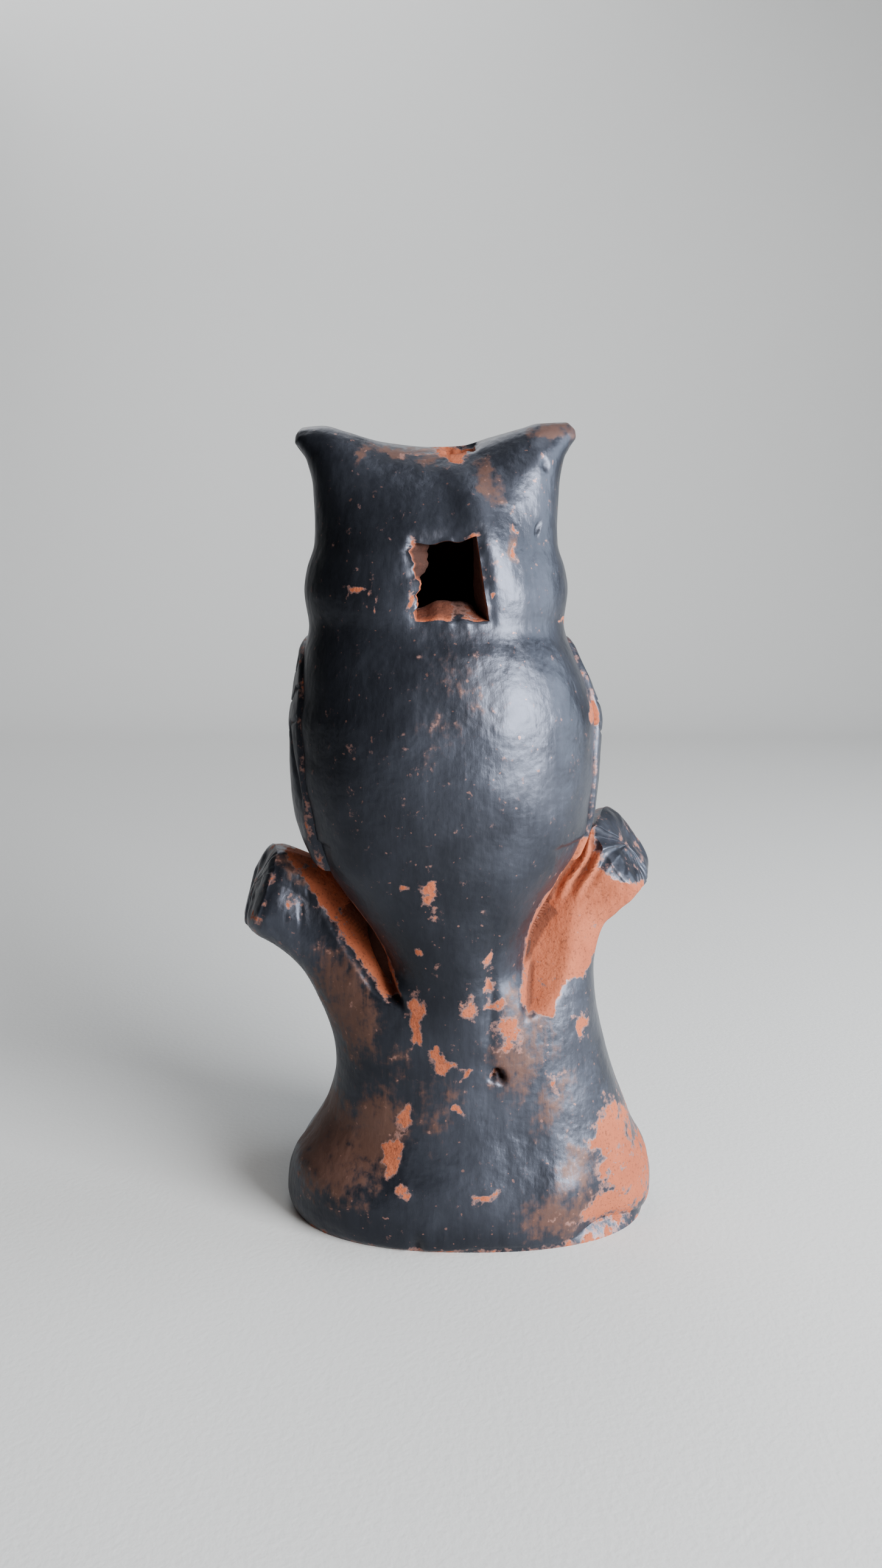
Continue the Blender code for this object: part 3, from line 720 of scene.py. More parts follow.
# Places where the slip has come off down to the clay.
BARE = (
    Mark(3.5, 125.6, 2.6, 1.5, 1.0),  # round the blowing slot
    Mark(8.0, 125.6, 2.6, 0.5, 0.50),
    Mark(-5.8, 114.4, 0.35, 1.6, 0.85, -14.0),
    Mark(-6.3, 110.6, 0.3, 1.2, 0.75, -12.0),
    Mark(-2.8, 104.4, 0.4, 0.7, 0.9),
    Mark(9.4, 103.6, 0.5, 1.4, 0.95, 8.0),
    Mark(8.8, 111.2, 0.8, 0.7, 0.7),
    Mark(0.4, 112.2, 1.0, 0.5, 0.8),
    Mark(17.4, 105.4, 2.0, 0.4, 0.72, 6.0),
    Mark(15.4, 104.6, 0.35, 0.8, 0.66, 30.0),
    Mark(14.0, 102.4, 0.3, 1.3, 0.60, 12.0),
    Mark(-14.2, 100.1, 0.8, 0.5, 0.8),
    Mark(-19.0, 86.0, 0.6, 1.3, 0.9),
    Mark(6.7, 60.4, 1.2, 1.5, 0.85),
    Mark(6.4, 57.4, 0.5, 1.4, 0.75),
    Mark(10.2, 60.2, 0.6, 0.8, 0.75),
    Mark(8.0, 49.4, 0.7, 0.6, 0.8),
    Mark(8.6, 38.2, 1.1, 3.6, 0.95, 4.0),
    Mark(8.0, 35.0, 0.7, 1.6, 0.85),
    Mark(0.3, 40.6, 1.1, 1.3, 0.92),
    Mark(-2.8, 48.8, 0.45, 1.4, 0.8),
    Mark(-2.9, 44.0, 0.5, 1.5, 0.85),
    Mark(-3.8, 40.8, 1.0, 0.7, 0.8),
    Mark(-6.0, 36.0, 2.3, 1.9, 0.9, 30.0),
    Mark(4.1, 30.7, 1.9, 1.5, 0.95, -25.0),
    Mark(5.2, 32.4, 1.2, 1.0, 0.85),
    Mark(1.1, 29.4, 0.9, 0.5, 0.85),
    Mark(-2.9, 29.3, 0.9, 0.8, 0.75),
    Mark(-13.4, 28.4, 1.6, 0.8, 0.66),
    Mark(-13.2, 26.4, 0.6, 1.2, 0.7),
    Mark(-18.2, 34.9, 0.9, 1.7, 0.85),
    Mark(1.9, 23.4, 1.3, 0.6, 0.85, 30.0),
    Mark(10.6, 21.4, 1.0, 2.0, 0.85, 20.0),
    Mark(12.6, 15.4, 1.2, 2.6, 0.9, 15.0),
    Mark(11.0, 10.4, 0.9, 1.0, 0.85),
    Mark(-2.0, 9.4, 1.9, 0.9, 0.92, -10.0),
    Mark(-4.0, 9.9, 0.8, 0.7, 0.85),
    Mark(-23.5, 16.8, 2.9, 4.2, 1.0, -15.0),
    Mark(-27.5, 10.5, 2.4, 3.0, 0.9),
    Mark(-22.5, 5.0, 4.2, 2.0, 1.0, -14.0),
    Mark(-30.0, 8.2, 2.0, 2.2, 0.9),
    Mark(29.6, 55.0, 0.4, 1.4, 0.55, 15.0),
)
# Places where the slip is thin and the clay glows through it; the broad mark on the nape is a painted warm
# reflection.
THIN_SLIP_AND_REFLECTION = (
    Mark(-2.2, 121.0, 1.3, 3.4, 0.95, -24.0),
    Mark(-5.6, 112.0, 0.9, 3.0, 0.8, -14.0),
    Mark(17.0, 124.9, 0.7, 1.3, 0.8),
    Mark(11.0, 126.0, 5.5, 0.9, 0.85),
    Mark(6.0, 124.2, 2.6, 1.0, 0.8),
    Mark(24.0, 14.5, 7.5, 6.0, 1.15, 35.0),
    Mark(15.5, 18.0, 4.0, 7.0, 1.10, 20.0),
    Mark(-7.0, 31.5, 4.0, 6.0, 0.8, 10.0),
    Mark(-13.0, 24.0, 3.0, 5.0, 0.7, 20.0),
    Mark(5.0, 24.0, 3.0, 6.0, 0.6, 10.0),
    Mark(-14.0, 6.0, 6.0, 4.0, 0.8),
    Mark(20.0, 39.0, 4.6, 8.0, 0.9, -20.0),
    Mark(-12.6, 129.0, 4.5, 1.2, 1.0),
    Mark(29.0, 60.6, 4.0, 1.6, 0.9, 30.0),
    Mark(-16.0, 8.0, 5.0, 5.0, 0.55),
    Mark(-9.0, 37.0, 3.0, 4.5, 0.75, 20.0),
    Mark(-6.5, 41.5, 1.5, 3.0, 0.6),
    # a painted warm reflection on the nape, laid as thin slip
    Mark(3.5, 90.0, 5.0, 9.0, 0.34),
    Mark(-18.0, 12.8, 3.8, 4.0, 0.7),
    Mark(-12.0, 33.0, 3.2, 3.0, 0.55),
    Mark(-4.6, 30.0, 2.6, 1.8, 0.7),
    Mark(1.4, 101.9, 3.4, 1.0, 1.0),
    Mark(12.0, 30.0, 3.0, 5.0, 0.35),
)

# Places that the burnishing tool missed, where the slip stays matt; their darker colour is painted shade on
# the lower body and on the side away from the light.
UNBURNISHED_AND_SHADED = (
    Mark(4.0, 60.0, 17.0, 15.0, 0.9),
    Mark(3.0, 46.0, 10.0, 12.0, 0.8),
    Mark(22.0, 84.0, 11.0, 20.0, 0.9),
    Mark(21.0, 113.0, 11.0, 14.0, 0.8),
    Mark(18.0, 30.0, 12.0, 18.0, 0.9),
    Mark(20.0, 5.0, 18.0, 7.0, 0.8),
    Mark(2.0, 2.0, 16.0, 4.0, 0.6),
)
# Where the gouge went through the slip: the broad right valley and the narrow left one.
GOUGED = (
    Patch(
        (
            (-18.2, 65.5), (-16.3, 62.0), (-14.4, 59.0), (-12.0, 57.6), (-10.5, 55.2),
            (-8.9, 50.6), (-8.2, 45.6), (-7.5, 41.0), (-9.0, 38.6), (-13.0, 38.0), (-14.0, 40.6),
            (-15.4, 43.4), (-18.3, 42.5), (-21.0, 46.0), (-24.0, 50.0), (-28.6, 54.0),
            (-29.0, 56.6), (-23.4, 57.9), (-20.8, 60.2), (-20.2, 65.4),
        ),
        0.8,
    ),
    Patch(
        (
            (30.4, 62.6), (29.4, 60.6), (26.3, 57.6), (22.8, 51.9), (16.4, 44.2), (14.8, 41.6),
            (13.6, 40.3), (11.0, 41.6), (12.0, 44.2), (16.0, 52.1), (21.0, 57.9), (24.0, 62.0),
        ),
        0.7,
        0.92,
    ),
)
# Where handling has bared the foot in one sweep.
RUBBED = (
    Patch(
        (
            (-19.5, 19.5), (-24.5, 20.0), (-31.5, 9.0), (-30.5, 3.0), (-26.0, 2.0), (-19.0, 1.4),
            (-19.0, 4.0), (-23.0, 6.5), (-20.5, 11.0),
        ),
        2.6,
        0.78,
    ),
)


class Handling:
    """How the slip has been handled, written into a mesh as attributes of wear, thin slip, hollowness and
    unburnished patches; the last two also carry painted shade, and the thin slip one painted reflection.
    """

    def __init__(self, points: Array, sunken: Array, extra_bare: Array | float = 0.0) -> None:
        """Reads the marks at each vertex.

        Args:
            points: Vertex positions in millimetres.
            sunken: How far each vertex lies in a hollow, in millimetres, negative on ridges.
            extra_bare: Added to the wear.
        """
        wander = 0.22 * HAND.read(points, 2.6) + 0.12 * TOOL.read(points, 1.1)
        strayed = points + self.stray(points)
        bare = np.maximum(most_of((*BARE, *RUBBED), strayed), most_of(GOUGED, points)) + wander * 0.8
        ridge = rise(0.10, 0.5, -sunken) * 0.30
        x, _, z = np.moveaxis(points, -1, 0)
        foot = (1 - rise(0.2, 1.6, z)) * 0.5
        self.values = {
            "bare": np.maximum(bare + ridge + foot, 0.0) + extra_bare,
            "thin": np.clip(most_of(THIN_SLIP_AND_REFLECTION, strayed) + 0.7 * wander, 0.0, 1.0),
            "sunken": np.clip(sunken, -1.0, 1.0),
            "unburnished_and_shaded": np.clip(total_of(UNBURNISHED_AND_SHADED, points), 0.0, 1.0),
        }

    @staticmethod
    def stray(points: Array) -> Array:
        """How far a mark's outline wanders at each point, sideways and more up and down."""
        shift = np.zeros(points.shape)
        for axis, (broad, fine) in enumerate(((0.8, 0.45), (0.0, 0.0), (1.1, 0.7))):
            offset = 31.0 * axis
            wave = broad * HAND.read(points + offset, 2.3) + fine * TOOL.read(points + offset, 0.95)
            shift[..., axis] = wave
        return shift


# ---------------------------------------------------------------- meshes


class ClayMesh:
    """Gathers points and faces in whole arrays, then writes them as one closed, outward-facing mesh."""

    def __init__(self) -> None:
        """Starts empty."""
        self.points: list[Array] = []
        self.marks: dict[str, list[Array]] = {"bare": [], "thin": [], "sunken": [], "unburnished_and_shaded": []}
        self.quads: list[Array] = []
        self.triangles: list[Array] = []
        self.count = 0

    def add(self, points: Array, sunken: Array | float = 0.0, bare: Array | float = 0.0) -> Array:
        """Adds points of any shape.

        Args:
            points: Positions in millimetres.
            sunken: Hollowness at each point, or a set amount; the finish darkens it as painted shade.
            bare: Extra wear at each point; 2 leaves plain clay.

        Returns:
            Their indices, in the same shape.
        """
        shape = points.shape[:-1]
        flat = points.reshape(-1, 3)
        values = Handling(points, np.broadcast_to(sunken, shape), np.broadcast_to(bare, shape)).values
        for name, value in values.items():
            self.marks[name].append(value.reshape(-1))
        self.points.append(flat)
        index = np.arange(self.count, self.count + len(flat)).reshape(shape)
        self.count += len(flat)
        return index

    def weave(self, index: Array, keep: Array | None = None) -> None:
        """Quads between the rows and columns of a grid of indices, left out where keep is False."""
        a, b, c, d = index[:-1, :-1], index[:-1, 1:], index[1:, 1:], index[1:, :-1]
        quads = np.stack((a, b, c, d), axis=-1)
        self.quads.append(quads[keep] if keep is not None else quads.reshape(-1, 4))

    def fan(self, ring: Array, centre: Array) -> None:
        """Closes a ring with triangles to one new point at its middle."""
        tip = self.add(centre.reshape(1, 3), bare=0.0)
        ring = ring[:-1] if ring[0] == ring[-1] else ring
        following = np.roll(ring, -1)
        self.triangles.append(np.stack((ring, following, np.full_like(ring, tip[0])), axis=-1))

    def stitch(self, first: Array, second: Array) -> None:
        """Joins two polylines that have different numbers of points, end to end.

        Every edge of one makes a triangle with the point of the other that is level with the edge's
        middle, as shares of the two lines' counts.

        Args:
            first: Indices along one line.
            second: Indices along the other, running the same way.
        """
        n, m = len(first) - 1, len(second) - 1
        mid_first = (np.arange(n) + 0.5) / n
        mid_second = (np.arange(m) + 0.5) / m
        level_second = np.searchsorted(mid_second, mid_first, side="left")
        level_first = np.searchsorted(mid_first, mid_second, side="right")
        self.triangles.append(np.stack((first[:-1], first[1:], second[level_second]), axis=-1))
        self.triangles.append(np.stack((second[1:], second[:-1], first[level_first]), axis=-1))

    def write(self, name: str, sharp: float = 50.0) -> bpy.types.Object:
        """Makes the object.

        Args:
            name: The object's name.
            sharp: Edges bent more than this many degrees are shaded sharp.

        Returns:
            The new object, at the origin.
        """
        quads = np.concatenate(self.quads) if self.quads else np.zeros((0, 4), int)
        triangles = np.concatenate(self.triangles) if self.triangles else np.zeros((0, 3), int)
        mesh = bpy.data.meshes.new(name)
        mesh.vertices.add(self.count)
        mesh.vertices.foreach_set("co", (np.concatenate(self.points) * MM).ravel())
        corners = np.concatenate((quads.ravel(), triangles.ravel()))
        starts = np.concatenate(
            (np.arange(len(quads)) * 4, quads.size + np.arange(len(triangles)) * 3)
        )
        mesh.loops.add(len(corners))
        mesh.loops.foreach_set("vertex_index", corners)
        mesh.polygons.add(len(starts))
        mesh.polygons.foreach_set("loop_start", starts)
        mesh.update(calc_edges=True)
        for mark, values in self.marks.items():
            attribute = mesh.attributes.new(mark, "FLOAT", "POINT")
            attribute.data.foreach_set("value", np.concatenate(values).astype(np.float32))
        self.close(mesh)
        mesh.shade_smooth()
        mesh.set_sharp_from_angle(angle=math.radians(sharp))
        piece = bpy.data.objects.new(name, mesh)
        bpy.context.scene.collection.objects.link(piece)
        return piece

    @staticmethod
    def close(mesh: bpy.types.Mesh) -> None:
        """Merges doubled points and faces that have no size, and turns every face outwards."""
        bm = bmesh.new()
        bm.from_mesh(mesh)
        bmesh.ops.remove_doubles(bm, verts=bm.verts, dist=0.002 * MM)
        bmesh.ops.dissolve_degenerate(bm, edges=bm.edges, dist=0.001 * MM)
        bmesh.ops.recalc_face_normals(bm, faces=bm.faces)
        loose = sum(1 for edge in bm.edges if not edge.is_manifold)
        if loose:
            log.warning("%s has %d open edges", mesh.name, loose)
        bm.to_mesh(mesh)
        bm.free()


def settle(
    piece: bpy.types.Object, material: bpy.types.Material, slot: Slot, *nodes: str
) -> bpy.types.Object:
    """Gives a piece its material and its place in the frame.

    Args:
        piece: The new object.
        material: Its finish.
        slot: The record's slot for that finish; not used.
        nodes: CAD nodes that it stands for.

    Returns:
        The piece.
    """
    piece.data.materials.clear()
    piece.data.materials.append(material)
    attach(piece, BODY)
    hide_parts(*nodes)
    log.info("%s: %d faces", piece.name, len(piece.data.polygons))
    return piece


# ---------------------------------------------------------------- shells


@dataclass
class Opening:
    """A hole through a shell: a block of grid cells, moved to the hole's own outline."""

    low_row: int
    high_row: int
    low_col: int
    high_col: int

    def cells(self, rows: int, cols: int) -> Array:
        """True for the grid cells that stay."""
        keep = np.ones((rows - 1, cols - 1), bool)
        keep[self.low_row : self.high_row, self.low_col : self.high_col] = False
        return keep

    def rim(self, grid: Array) -> Array:
        """The block's border, walked once round and back to its start, from any grid of values."""
        r0, r1, c0, c1 = self.low_row, self.high_row, self.low_col, self.high_col
        return np.concatenate(
            (
                grid[r0, c0:c1],
                grid[r0:r1, c1],
                grid[r1, c1:c0:-1],
                grid[r1:r0:-1, c0],
                grid[r0 : r0 + 1, c0],
            )
        )

    def pull(self, grid: Array, target: Array, reach: float) -> Array:
        """Moves the block's border to target and lets the grid around follow.

        Each outer point takes the shift of the nearest border point, times exp(-(steps/reach)^2).

        Args:
            grid: Values to move, such as positions.
            target: Where the whole grid would be if all of it followed the outline.
            reach: How many steps the pull carries.

        Returns:
            The moved grid.
        """
        rows, cols = np.indices(grid.shape[:2])
        near_row = np.clip(rows, self.low_row, self.high_row)
        near_col = np.clip(cols, self.low_col, self.high_col)
        steps = np.hypot(rows - near_row, cols - near_col)
        shift = (target - grid)[near_row, near_col]
        return grid + shift * np.exp(-((steps / reach) ** 2))[..., None]


@dataclass
class Shell:
    """One pressed half: the outer skin, the hollow's wall, the seam's faces and the foot's rim."""

    back: bool
    columns: int = 190
    row_step: float = 0.43
    inner_step: int = 5
    relief: Callable[[Array], Array] | None = None

    @property
    def name(self) -> str:
        """The shell's node name."""
        return "back_shell" if self.back else "front_shell"

    def turns(self, count: int) -> Array:
        """Positions round the half, from one seam to the other."""
        turn = np.linspace(0.0, math.pi, count)
        return turn if self.back else turn + math.pi

    def levels(self) -> Array:
        """Rows of the outer skin, closer together in the foot's rounded rim."""
        rim = np.linspace(0.0, 1.6, 7)[:-1]
        return np.concatenate((rim, np.arange(1.6, FORM.top - 0.2, self.row_step), [FORM.top]))

    def skin(self) -> Array:
        """The outer skin's points before any opening is made, drawn out round the branches' roots."""
        level, turn = np.meshgrid(self.levels(), self.turns(self.columns), indexing="ij")
        angle = FORM.angles(level, turn)
        points = FORM.points(level, angle)
        points[:, 0, 1] = points[:, -1, 1] = 0.0
        out = np.stack((np.cos(angle), np.sin(angle), 0.0 * angle), axis=-1)
        out[:, 0, 1] = out[:, -1, 1] = 0.0
        sunk = np.zeros(points.shape[:2])
        z = points[..., 2]
        for limb in LIMBS:
            near = (z > 24.0) & (z < 66.0) & ((points[..., 0] > 3.0) == (limb.side is Side.LEFT))
            moved, below = FORM.joined(points[near], out[near], limb, from_limb=False)
            points[near], sunk[near] = moved, below
        return FORM.carve(points, sunk) if self.back else points

    def worked(self, points: Array) -> Array:
        """Adds what hands and tools did to the skin, and the shell's own relief."""
        normals = self.normals(points)
        z = points[..., 2]
        seam = rise(0.0, 2.5, np.abs(points[..., 1]))
        seam = np.maximum(seam, rise(30.0, 34.0, z) * (1 - rise(60.0, 64.0, z)))
        depth = hand_marks(points) * (1 - 0.75 * rise(121.0, 125.0, z))
        if self.relief is not None:
            depth = depth + self.relief(points)
        depth = depth * seam * rise(0.0, 0.8, z)
        moved = points + normals * depth[..., None]
        moved[:, 0, 1] = moved[:, -1, 1] = 0.0
        moved[0, :, 2] = 0.0
        moved[..., 2] = np.maximum(moved[..., 2], 0.0)
        return moved

    @staticmethod
    def normals(points: Array) -> Array:
        """Normals that point away from the axis, judged at one point on the stump."""
        normals = grid_normals(points)
        middle = points.shape[0] // 3, points.shape[1] // 2
        inward = float(np.dot(normals[middle], points[middle] * (1, 1, 0))) < 0
        return -normals if inward else normals

    def lining(self, rows: int, cols: int) -> Array:
        """The hollow's wall, closed above by a shallow dome.

        Args:
            rows: Points from the foot to the dome's edge.
            cols: Points from seam to seam.

        Returns:
            A grid of points whose last row lies on the seam plane.
        """
        heights = np.linspace(0.0, FORM.ceiling - 2.0, rows)
        level, turn = np.meshgrid(FORM.level_at(heights), self.turns(cols), indexing="ij")
        wall = FORM.points(level, FORM.angles(level, turn), -FORM.wall)
        top = wall[-1]
        centre = np.array((FORM.middle(FORM.ceiling), 0.0, FORM.ceiling))
        crown = centre + (top - centre) * (0.25, 0.25, 0.0)
        close = crown * (1, 0, 1) + (0, 0, 0.2)
        grid = np.concatenate((wall, crown[None], close[None]))
        grid[:, 0, 1] = grid[:, -1, 1] = 0.0
        return grid

    def make(self) -> ClayMesh:
        """Builds the half with no openings."""
        mesh = ClayMesh()
        points = self.worked(self.skin())
        self.enclose(mesh, points, None)
        return mesh

    def enclose(self, mesh: ClayMesh, points: Array, keep: Array | None) -> tuple[Array, Array]:
        """Adds the skin and the lining and joins them round the seam.

        Args:
            mesh: Where it all goes.
            points: The finished outer skin.
            keep: Which skin cells stay, or None for all.

        Returns:
            The indices of the skin's and the lining's grids. The lining's cells are not woven yet
            where an opening has to pass, so the caller weaves them.
        """
        normals = self.normals(points)
        hollow = np.clip(hollowness(points, normals), -0.5, 0.5)
        # Hollows and the puncture's pits get sunken values, which the finish darkens as painted shade.
        skin = mesh.add(points, np.maximum(hollow, -0.55 * total_of(PUNCTURE, points)))
        mesh.weave(skin, keep)
        rows = max(points.shape[0] // self.inner_step, 8)
        cols = max(points.shape[1] // self.inner_step, 8)
        # The hollow's inner wall is darkened as painted shade.
        lining = mesh.add(self.lining(rows, cols), sunken=0.85, bare=2.0)
        if keep is None:
            mesh.weave(lining)
        for outer, inner in (
            (skin[0], lining[0]),
            (skin[:, 0], lining[:, 0]),
            (skin[:, -1], lining[:, -1]),
            (skin[-1], lining[-1]),
        ):
            mesh.stitch(outer, inner)
        return skin, lining


@dataclass
class BackShell(Shell):
    """The back half, with the whistle's window and the blowing slot."""

    back: bool = True
    corners: tuple[tuple[float, float], ...] = ((8.2, 100.6), (-2.5, 100.5), (-0.3, 112.7), (9.0, 111.9))
    sill_rise: float = 3.0
    jamb_draw: float = 1.5
    wall_draw: float = 2.3
    window_middle: float = 106.4
    window_reach: float = 9.0
    ring_depths: tuple[float, ...] = (0.12, 0.35, 0.8, 1.4, 2.0, 2.7, 3.4, 4.1, 4.7)
    crest_rows: int = 14
    slot_width: tuple[float, float] = (-0.3, 3.9)
    slot_depth: tuple[float, float] = (1.2, 4.6)
    slot_run: tuple[float, float, float] = (0.4, 6.0, -8.4)

    def carved_relief(self, points: Array) -> Array:
        """The back's dents, swellings, creases and the puncture in the stump."""
        return total_of(BACK_RELIEF, points) + total_of(PUNCTURE, points)

    def window_outline(self, s: Array, t: Array) -> tuple[Array, Array]:
        """The window's x and z from shares across, from the owl's left, and up.

        It is the bilinear blend of four corners. The left edge is shifted by three waves of chipping.
        """
        (lx, lz), (rx, rz), (ux, uz), (vx, vz) = self.corners
        x = (lx * (1 - s) + rx * s) * (1 - t) + (vx * (1 - s) + ux * s) * t
        z = (lz * (1 - s) + rz * s) * (1 - t) + (vz * (1 - s) + uz * s) * t
        chips = 0.42 * np.sin(9.0 * t + 0.6) + 0.26 * np.sin(23.0 * t) + 0.14 * np.sin(57.0 * t + 1.0)
        x = x + chips * (1 - s) ** 3
        z = z + 0.16 * np.sin(13.0 * s + 1.0) * t**2 - 0.12 * np.sin(17.0 * s) * (1 - t) ** 2
        return x, z

    def make(self) -> ClayMesh:
        """Builds the half and opens the window and the slot in it."""
        self.relief = self.carved_relief
        skin = self.skin()
        window, skin = self.open_window(skin)
        points = self.worked(skin)
        slot = self.slot_block(points)
        points = self.chip_rims(points, window, slot)
        keep = window.cells(*points.shape[:2]) & slot.cells(*points.shape[:2])
        mesh = ClayMesh()
        skin_index, lining_index = self.enclose(mesh, points, keep)
        self.line_window(mesh, window, skin_index, points, lining_index)
        self.line_slot(mesh, slot, skin_index, points)
        return mesh

    def open_window(self, skin: Array) -> tuple[Opening, Array]:
        """Finds the block of cells nearest the window and pulls its border to the outline."""
        middle = int(np.argmin(np.abs(skin[:, skin.shape[1] // 2, 2] - self.window_middle)))
        (left, low), (right, _), _, (_, high) = self.corners
        rows = skin[:, skin.shape[1] // 2, 2]
        opening = Opening(
            int(np.argmin(np.abs(rows - low))),
            int(np.argmin(np.abs(rows - high - 0.3))),
            int(np.argmin(np.abs(skin[middle, :, 0] - left - 0.4))),
            int(np.argmin(np.abs(skin[middle, :, 0] - right - 1.1))),
        )
        row, col = np.indices(skin.shape[:2])
        s = np.clip((col - opening.low_col) / (opening.high_col - opening.low_col), 0, 1)
        t = np.clip((row - opening.low_row) / (opening.high_row - opening.low_row), 0, 1)
        x, z = self.window_outline(s, t)
        flat = skin[..., [0, 2]]
        moved = opening.pull(flat, np.stack((x, z), axis=-1), self.window_reach)
        steps = np.abs(moved - flat).sum(-1) > 1e-6
        low = FORM.unlifted(moved[..., 0], moved[..., 1])
        pulled = np.stack((moved[..., 0], FORM.owl_depth(moved[..., 0], low), moved[..., 1]), axis=-1)
        near = (skin[..., 2] > 92.0) & (skin[..., 2] < 121.0) & steps & (skin[..., 1] > 6.0)
        return opening, np.where(near[..., None], pulled, skin)

    def slot_block(self, points: Array) -> Opening:
        """The cells of the crest that the blowing slot takes."""
        rows, cols = points.shape[:2]
        first = rows - self.crest_rows
        crest = points[first:rows, cols // 2, 1]
        high, low = self.slot_depth
        low_row = first + int(np.argmin(np.abs(crest - low)))
        high_row = first + int(np.argmin(np.abs(crest - high)))
        line = points[(low_row + high_row) // 2, :, 0]
        left, right = self.slot_width[1], self.slot_width[0]
        return Opening(
            low_row,
            max(high_row, low_row + 2),
            int(np.argmin(np.abs(line - left))),
            int(np.argmin(np.abs(line - right))),
        )

    @staticmethod
    def chip_rims(points: Array, window: Opening, slot: Opening) -> Array:
        """Rounds the window's edge inwards and crumbles the slot's, along the skin's normals."""
        normals = grid_normals(points)
        normals = np.where(normals[..., 1:2] < 0, -normals, normals)
        rows, cols = np.indices(points.shape[:2])
        moved = points.copy()
        for opening, soft, crumble in ((window, 3.2, 0.26), (slot, 1.6, 0.30)):
            near_row = np.clip(rows, opening.low_row, opening.high_row)
            near_col = np.clip(cols, opening.low_col, opening.high_col)
            steps = np.hypot(rows - near_row, cols - near_col)
            at_top = near_row == opening.high_row
            depth = np.where(at_top, 1.6, 1.0) * 0.34 * np.exp(-((steps / soft) ** 2))
            depth = depth + crumble * TOOL.read(points, 0.9) * np.exp(-((steps / 1.6) ** 2))
            moved -= normals * depth[..., None]
        return moved

    def line_window(
        self, mesh: ClayMesh, window: Opening, skin: Array, points: Array, lining: Array
    ) -> None:
        """Walls the window: rings run inwards, the sill climbs as a ramp and both jambs draw in, and the
        walls are darkened with painted shade.

        Args:
            mesh: Where it goes.
            window: The block that was removed.
            skin: Indices of the skin's grid.
            points: The skin's points.
            lining: Indices of the lining's grid, woven here round the window's inner end.
        """
        rim_index = window.rim(skin)
        rim = window.rim(points)
        row, col = np.indices(points.shape[:2]).astype(float)
        s = (window.rim(col) - window.low_col) / (window.high_col - window.low_col)
        t = (window.rim(row) - window.low_row) / (window.high_row - window.low_row)
        low = (1 - rise(0.0, 0.30, t)) * (1 - 0.55 * np.abs(2 * s - 0.9) ** 2)
        right = rise(0.75, 1.0, s) * (1 - 0.75 * rise(0.2, 1.0, t))
        left = (1 - rise(0.0, 0.45, s)) * rise(0.50, 0.75, t) * (1 + 0.12 * np.sin(23.0 * t))
        centre = rim[:-1].mean(axis=0)
        rings = [rim_index]
        for deep in self.ring_depths:
            share = deep / self.ring_depths[-1]
            ring = rim.copy()
            ring[:, 1] -= deep
            inset = 0.25 * (1 - math.exp(-deep / 0.25))
            ring[:, 0] += (centre[0] - ring[:, 0]) * 0.1 * inset
            ring[:, 2] += self.sill_rise * low * share**0.9
            ring[:, 0] += (self.jamb_draw * right - self.wall_draw * left) * share
            rough = TOOL.read(ring, 0.8)[:, None] * 0.10 + HAND.read(ring, 2.0)[:, None] * 0.12
            ring += rough * unit((ring - centre) * (1, 0, 1)) * min(1.0, deep)
            worn = 1.0 - 0.80 * rise(0.30, 0.55, s + 0.06 * TOOL.read(ring, 1.2)) * low
            ring[-1] = ring[0]
            inwards = np.array(deep)
            # Painted shade: the window's right jamb, top, left wall, sill and deep end are darkened towards
            # near black. On the right jamb the darkening is painted shade and grime together.
            window_shade = np.maximum(0.86 * rise(0.88, 1.0, s), 0.95 * rise(0.9, 1.0, t)) * rise(0.0, 0.5, inwards)
            left_wall_shade = 0.92 + 0.10 * TOOL.read(ring, 0.9)
            window_shade = np.maximum(window_shade, left_wall_shade * rise(0.0, 0.25, left) * rise(0.0, 0.5, inwards))
            window_shade = np.maximum(window_shade, 0.74 * rise(0.2, 0.7, low) * rise(0.3, 1.2, inwards))
            window_shade = np.maximum(window_shade, 0.85 * rise(2.4, 4.5, inwards))
            rings.append(mesh.add(ring, sunken=window_shade, bare=worn * 1.6 * rise(0.0, 0.3, inwards)))
        mesh.weave(np.stack(rings))
        self.pierce_lining(mesh, lining, rings[-1])

    @staticmethod
    def pierce_lining(mesh: ClayMesh, lining: Array, ring: Array) -> None:
        """Weaves the lining with a hole round the window's inner end and stitches the two together."""
        points = np.concatenate(mesh.points)
        grid = points[lining]
        inner = points[ring]
        rows, cols = grid.shape[:2]
        low = int(np.searchsorted(grid[:-2, cols // 2, 2], inner[:, 2].min() - 1.0)) - 1
        high = int(np.searchsorted(grid[:-2, cols // 2, 2], inner[:, 2].max() + 1.0))
        line = grid[(low + high) // 2, :, 0]
        left = int(np.searchsorted(-line, -(inner[:, 0].max() + 1.0))) - 1
        right = int(np.searchsorted(-line, -(inner[:, 0].min() - 1.0)))
        hole = Opening(low, high, left, right)
        mesh.weave(lining, hole.cells(rows, cols))
        border = hole.rim(lining)
        near = points[border[:-1]] - inner[0]
        start = int(np.argmin(np.linalg.norm(near, axis=1)))
        border = np.concatenate((np.roll(border[:-1], -start), [border[start]]))
        mesh.stitch(border, ring)

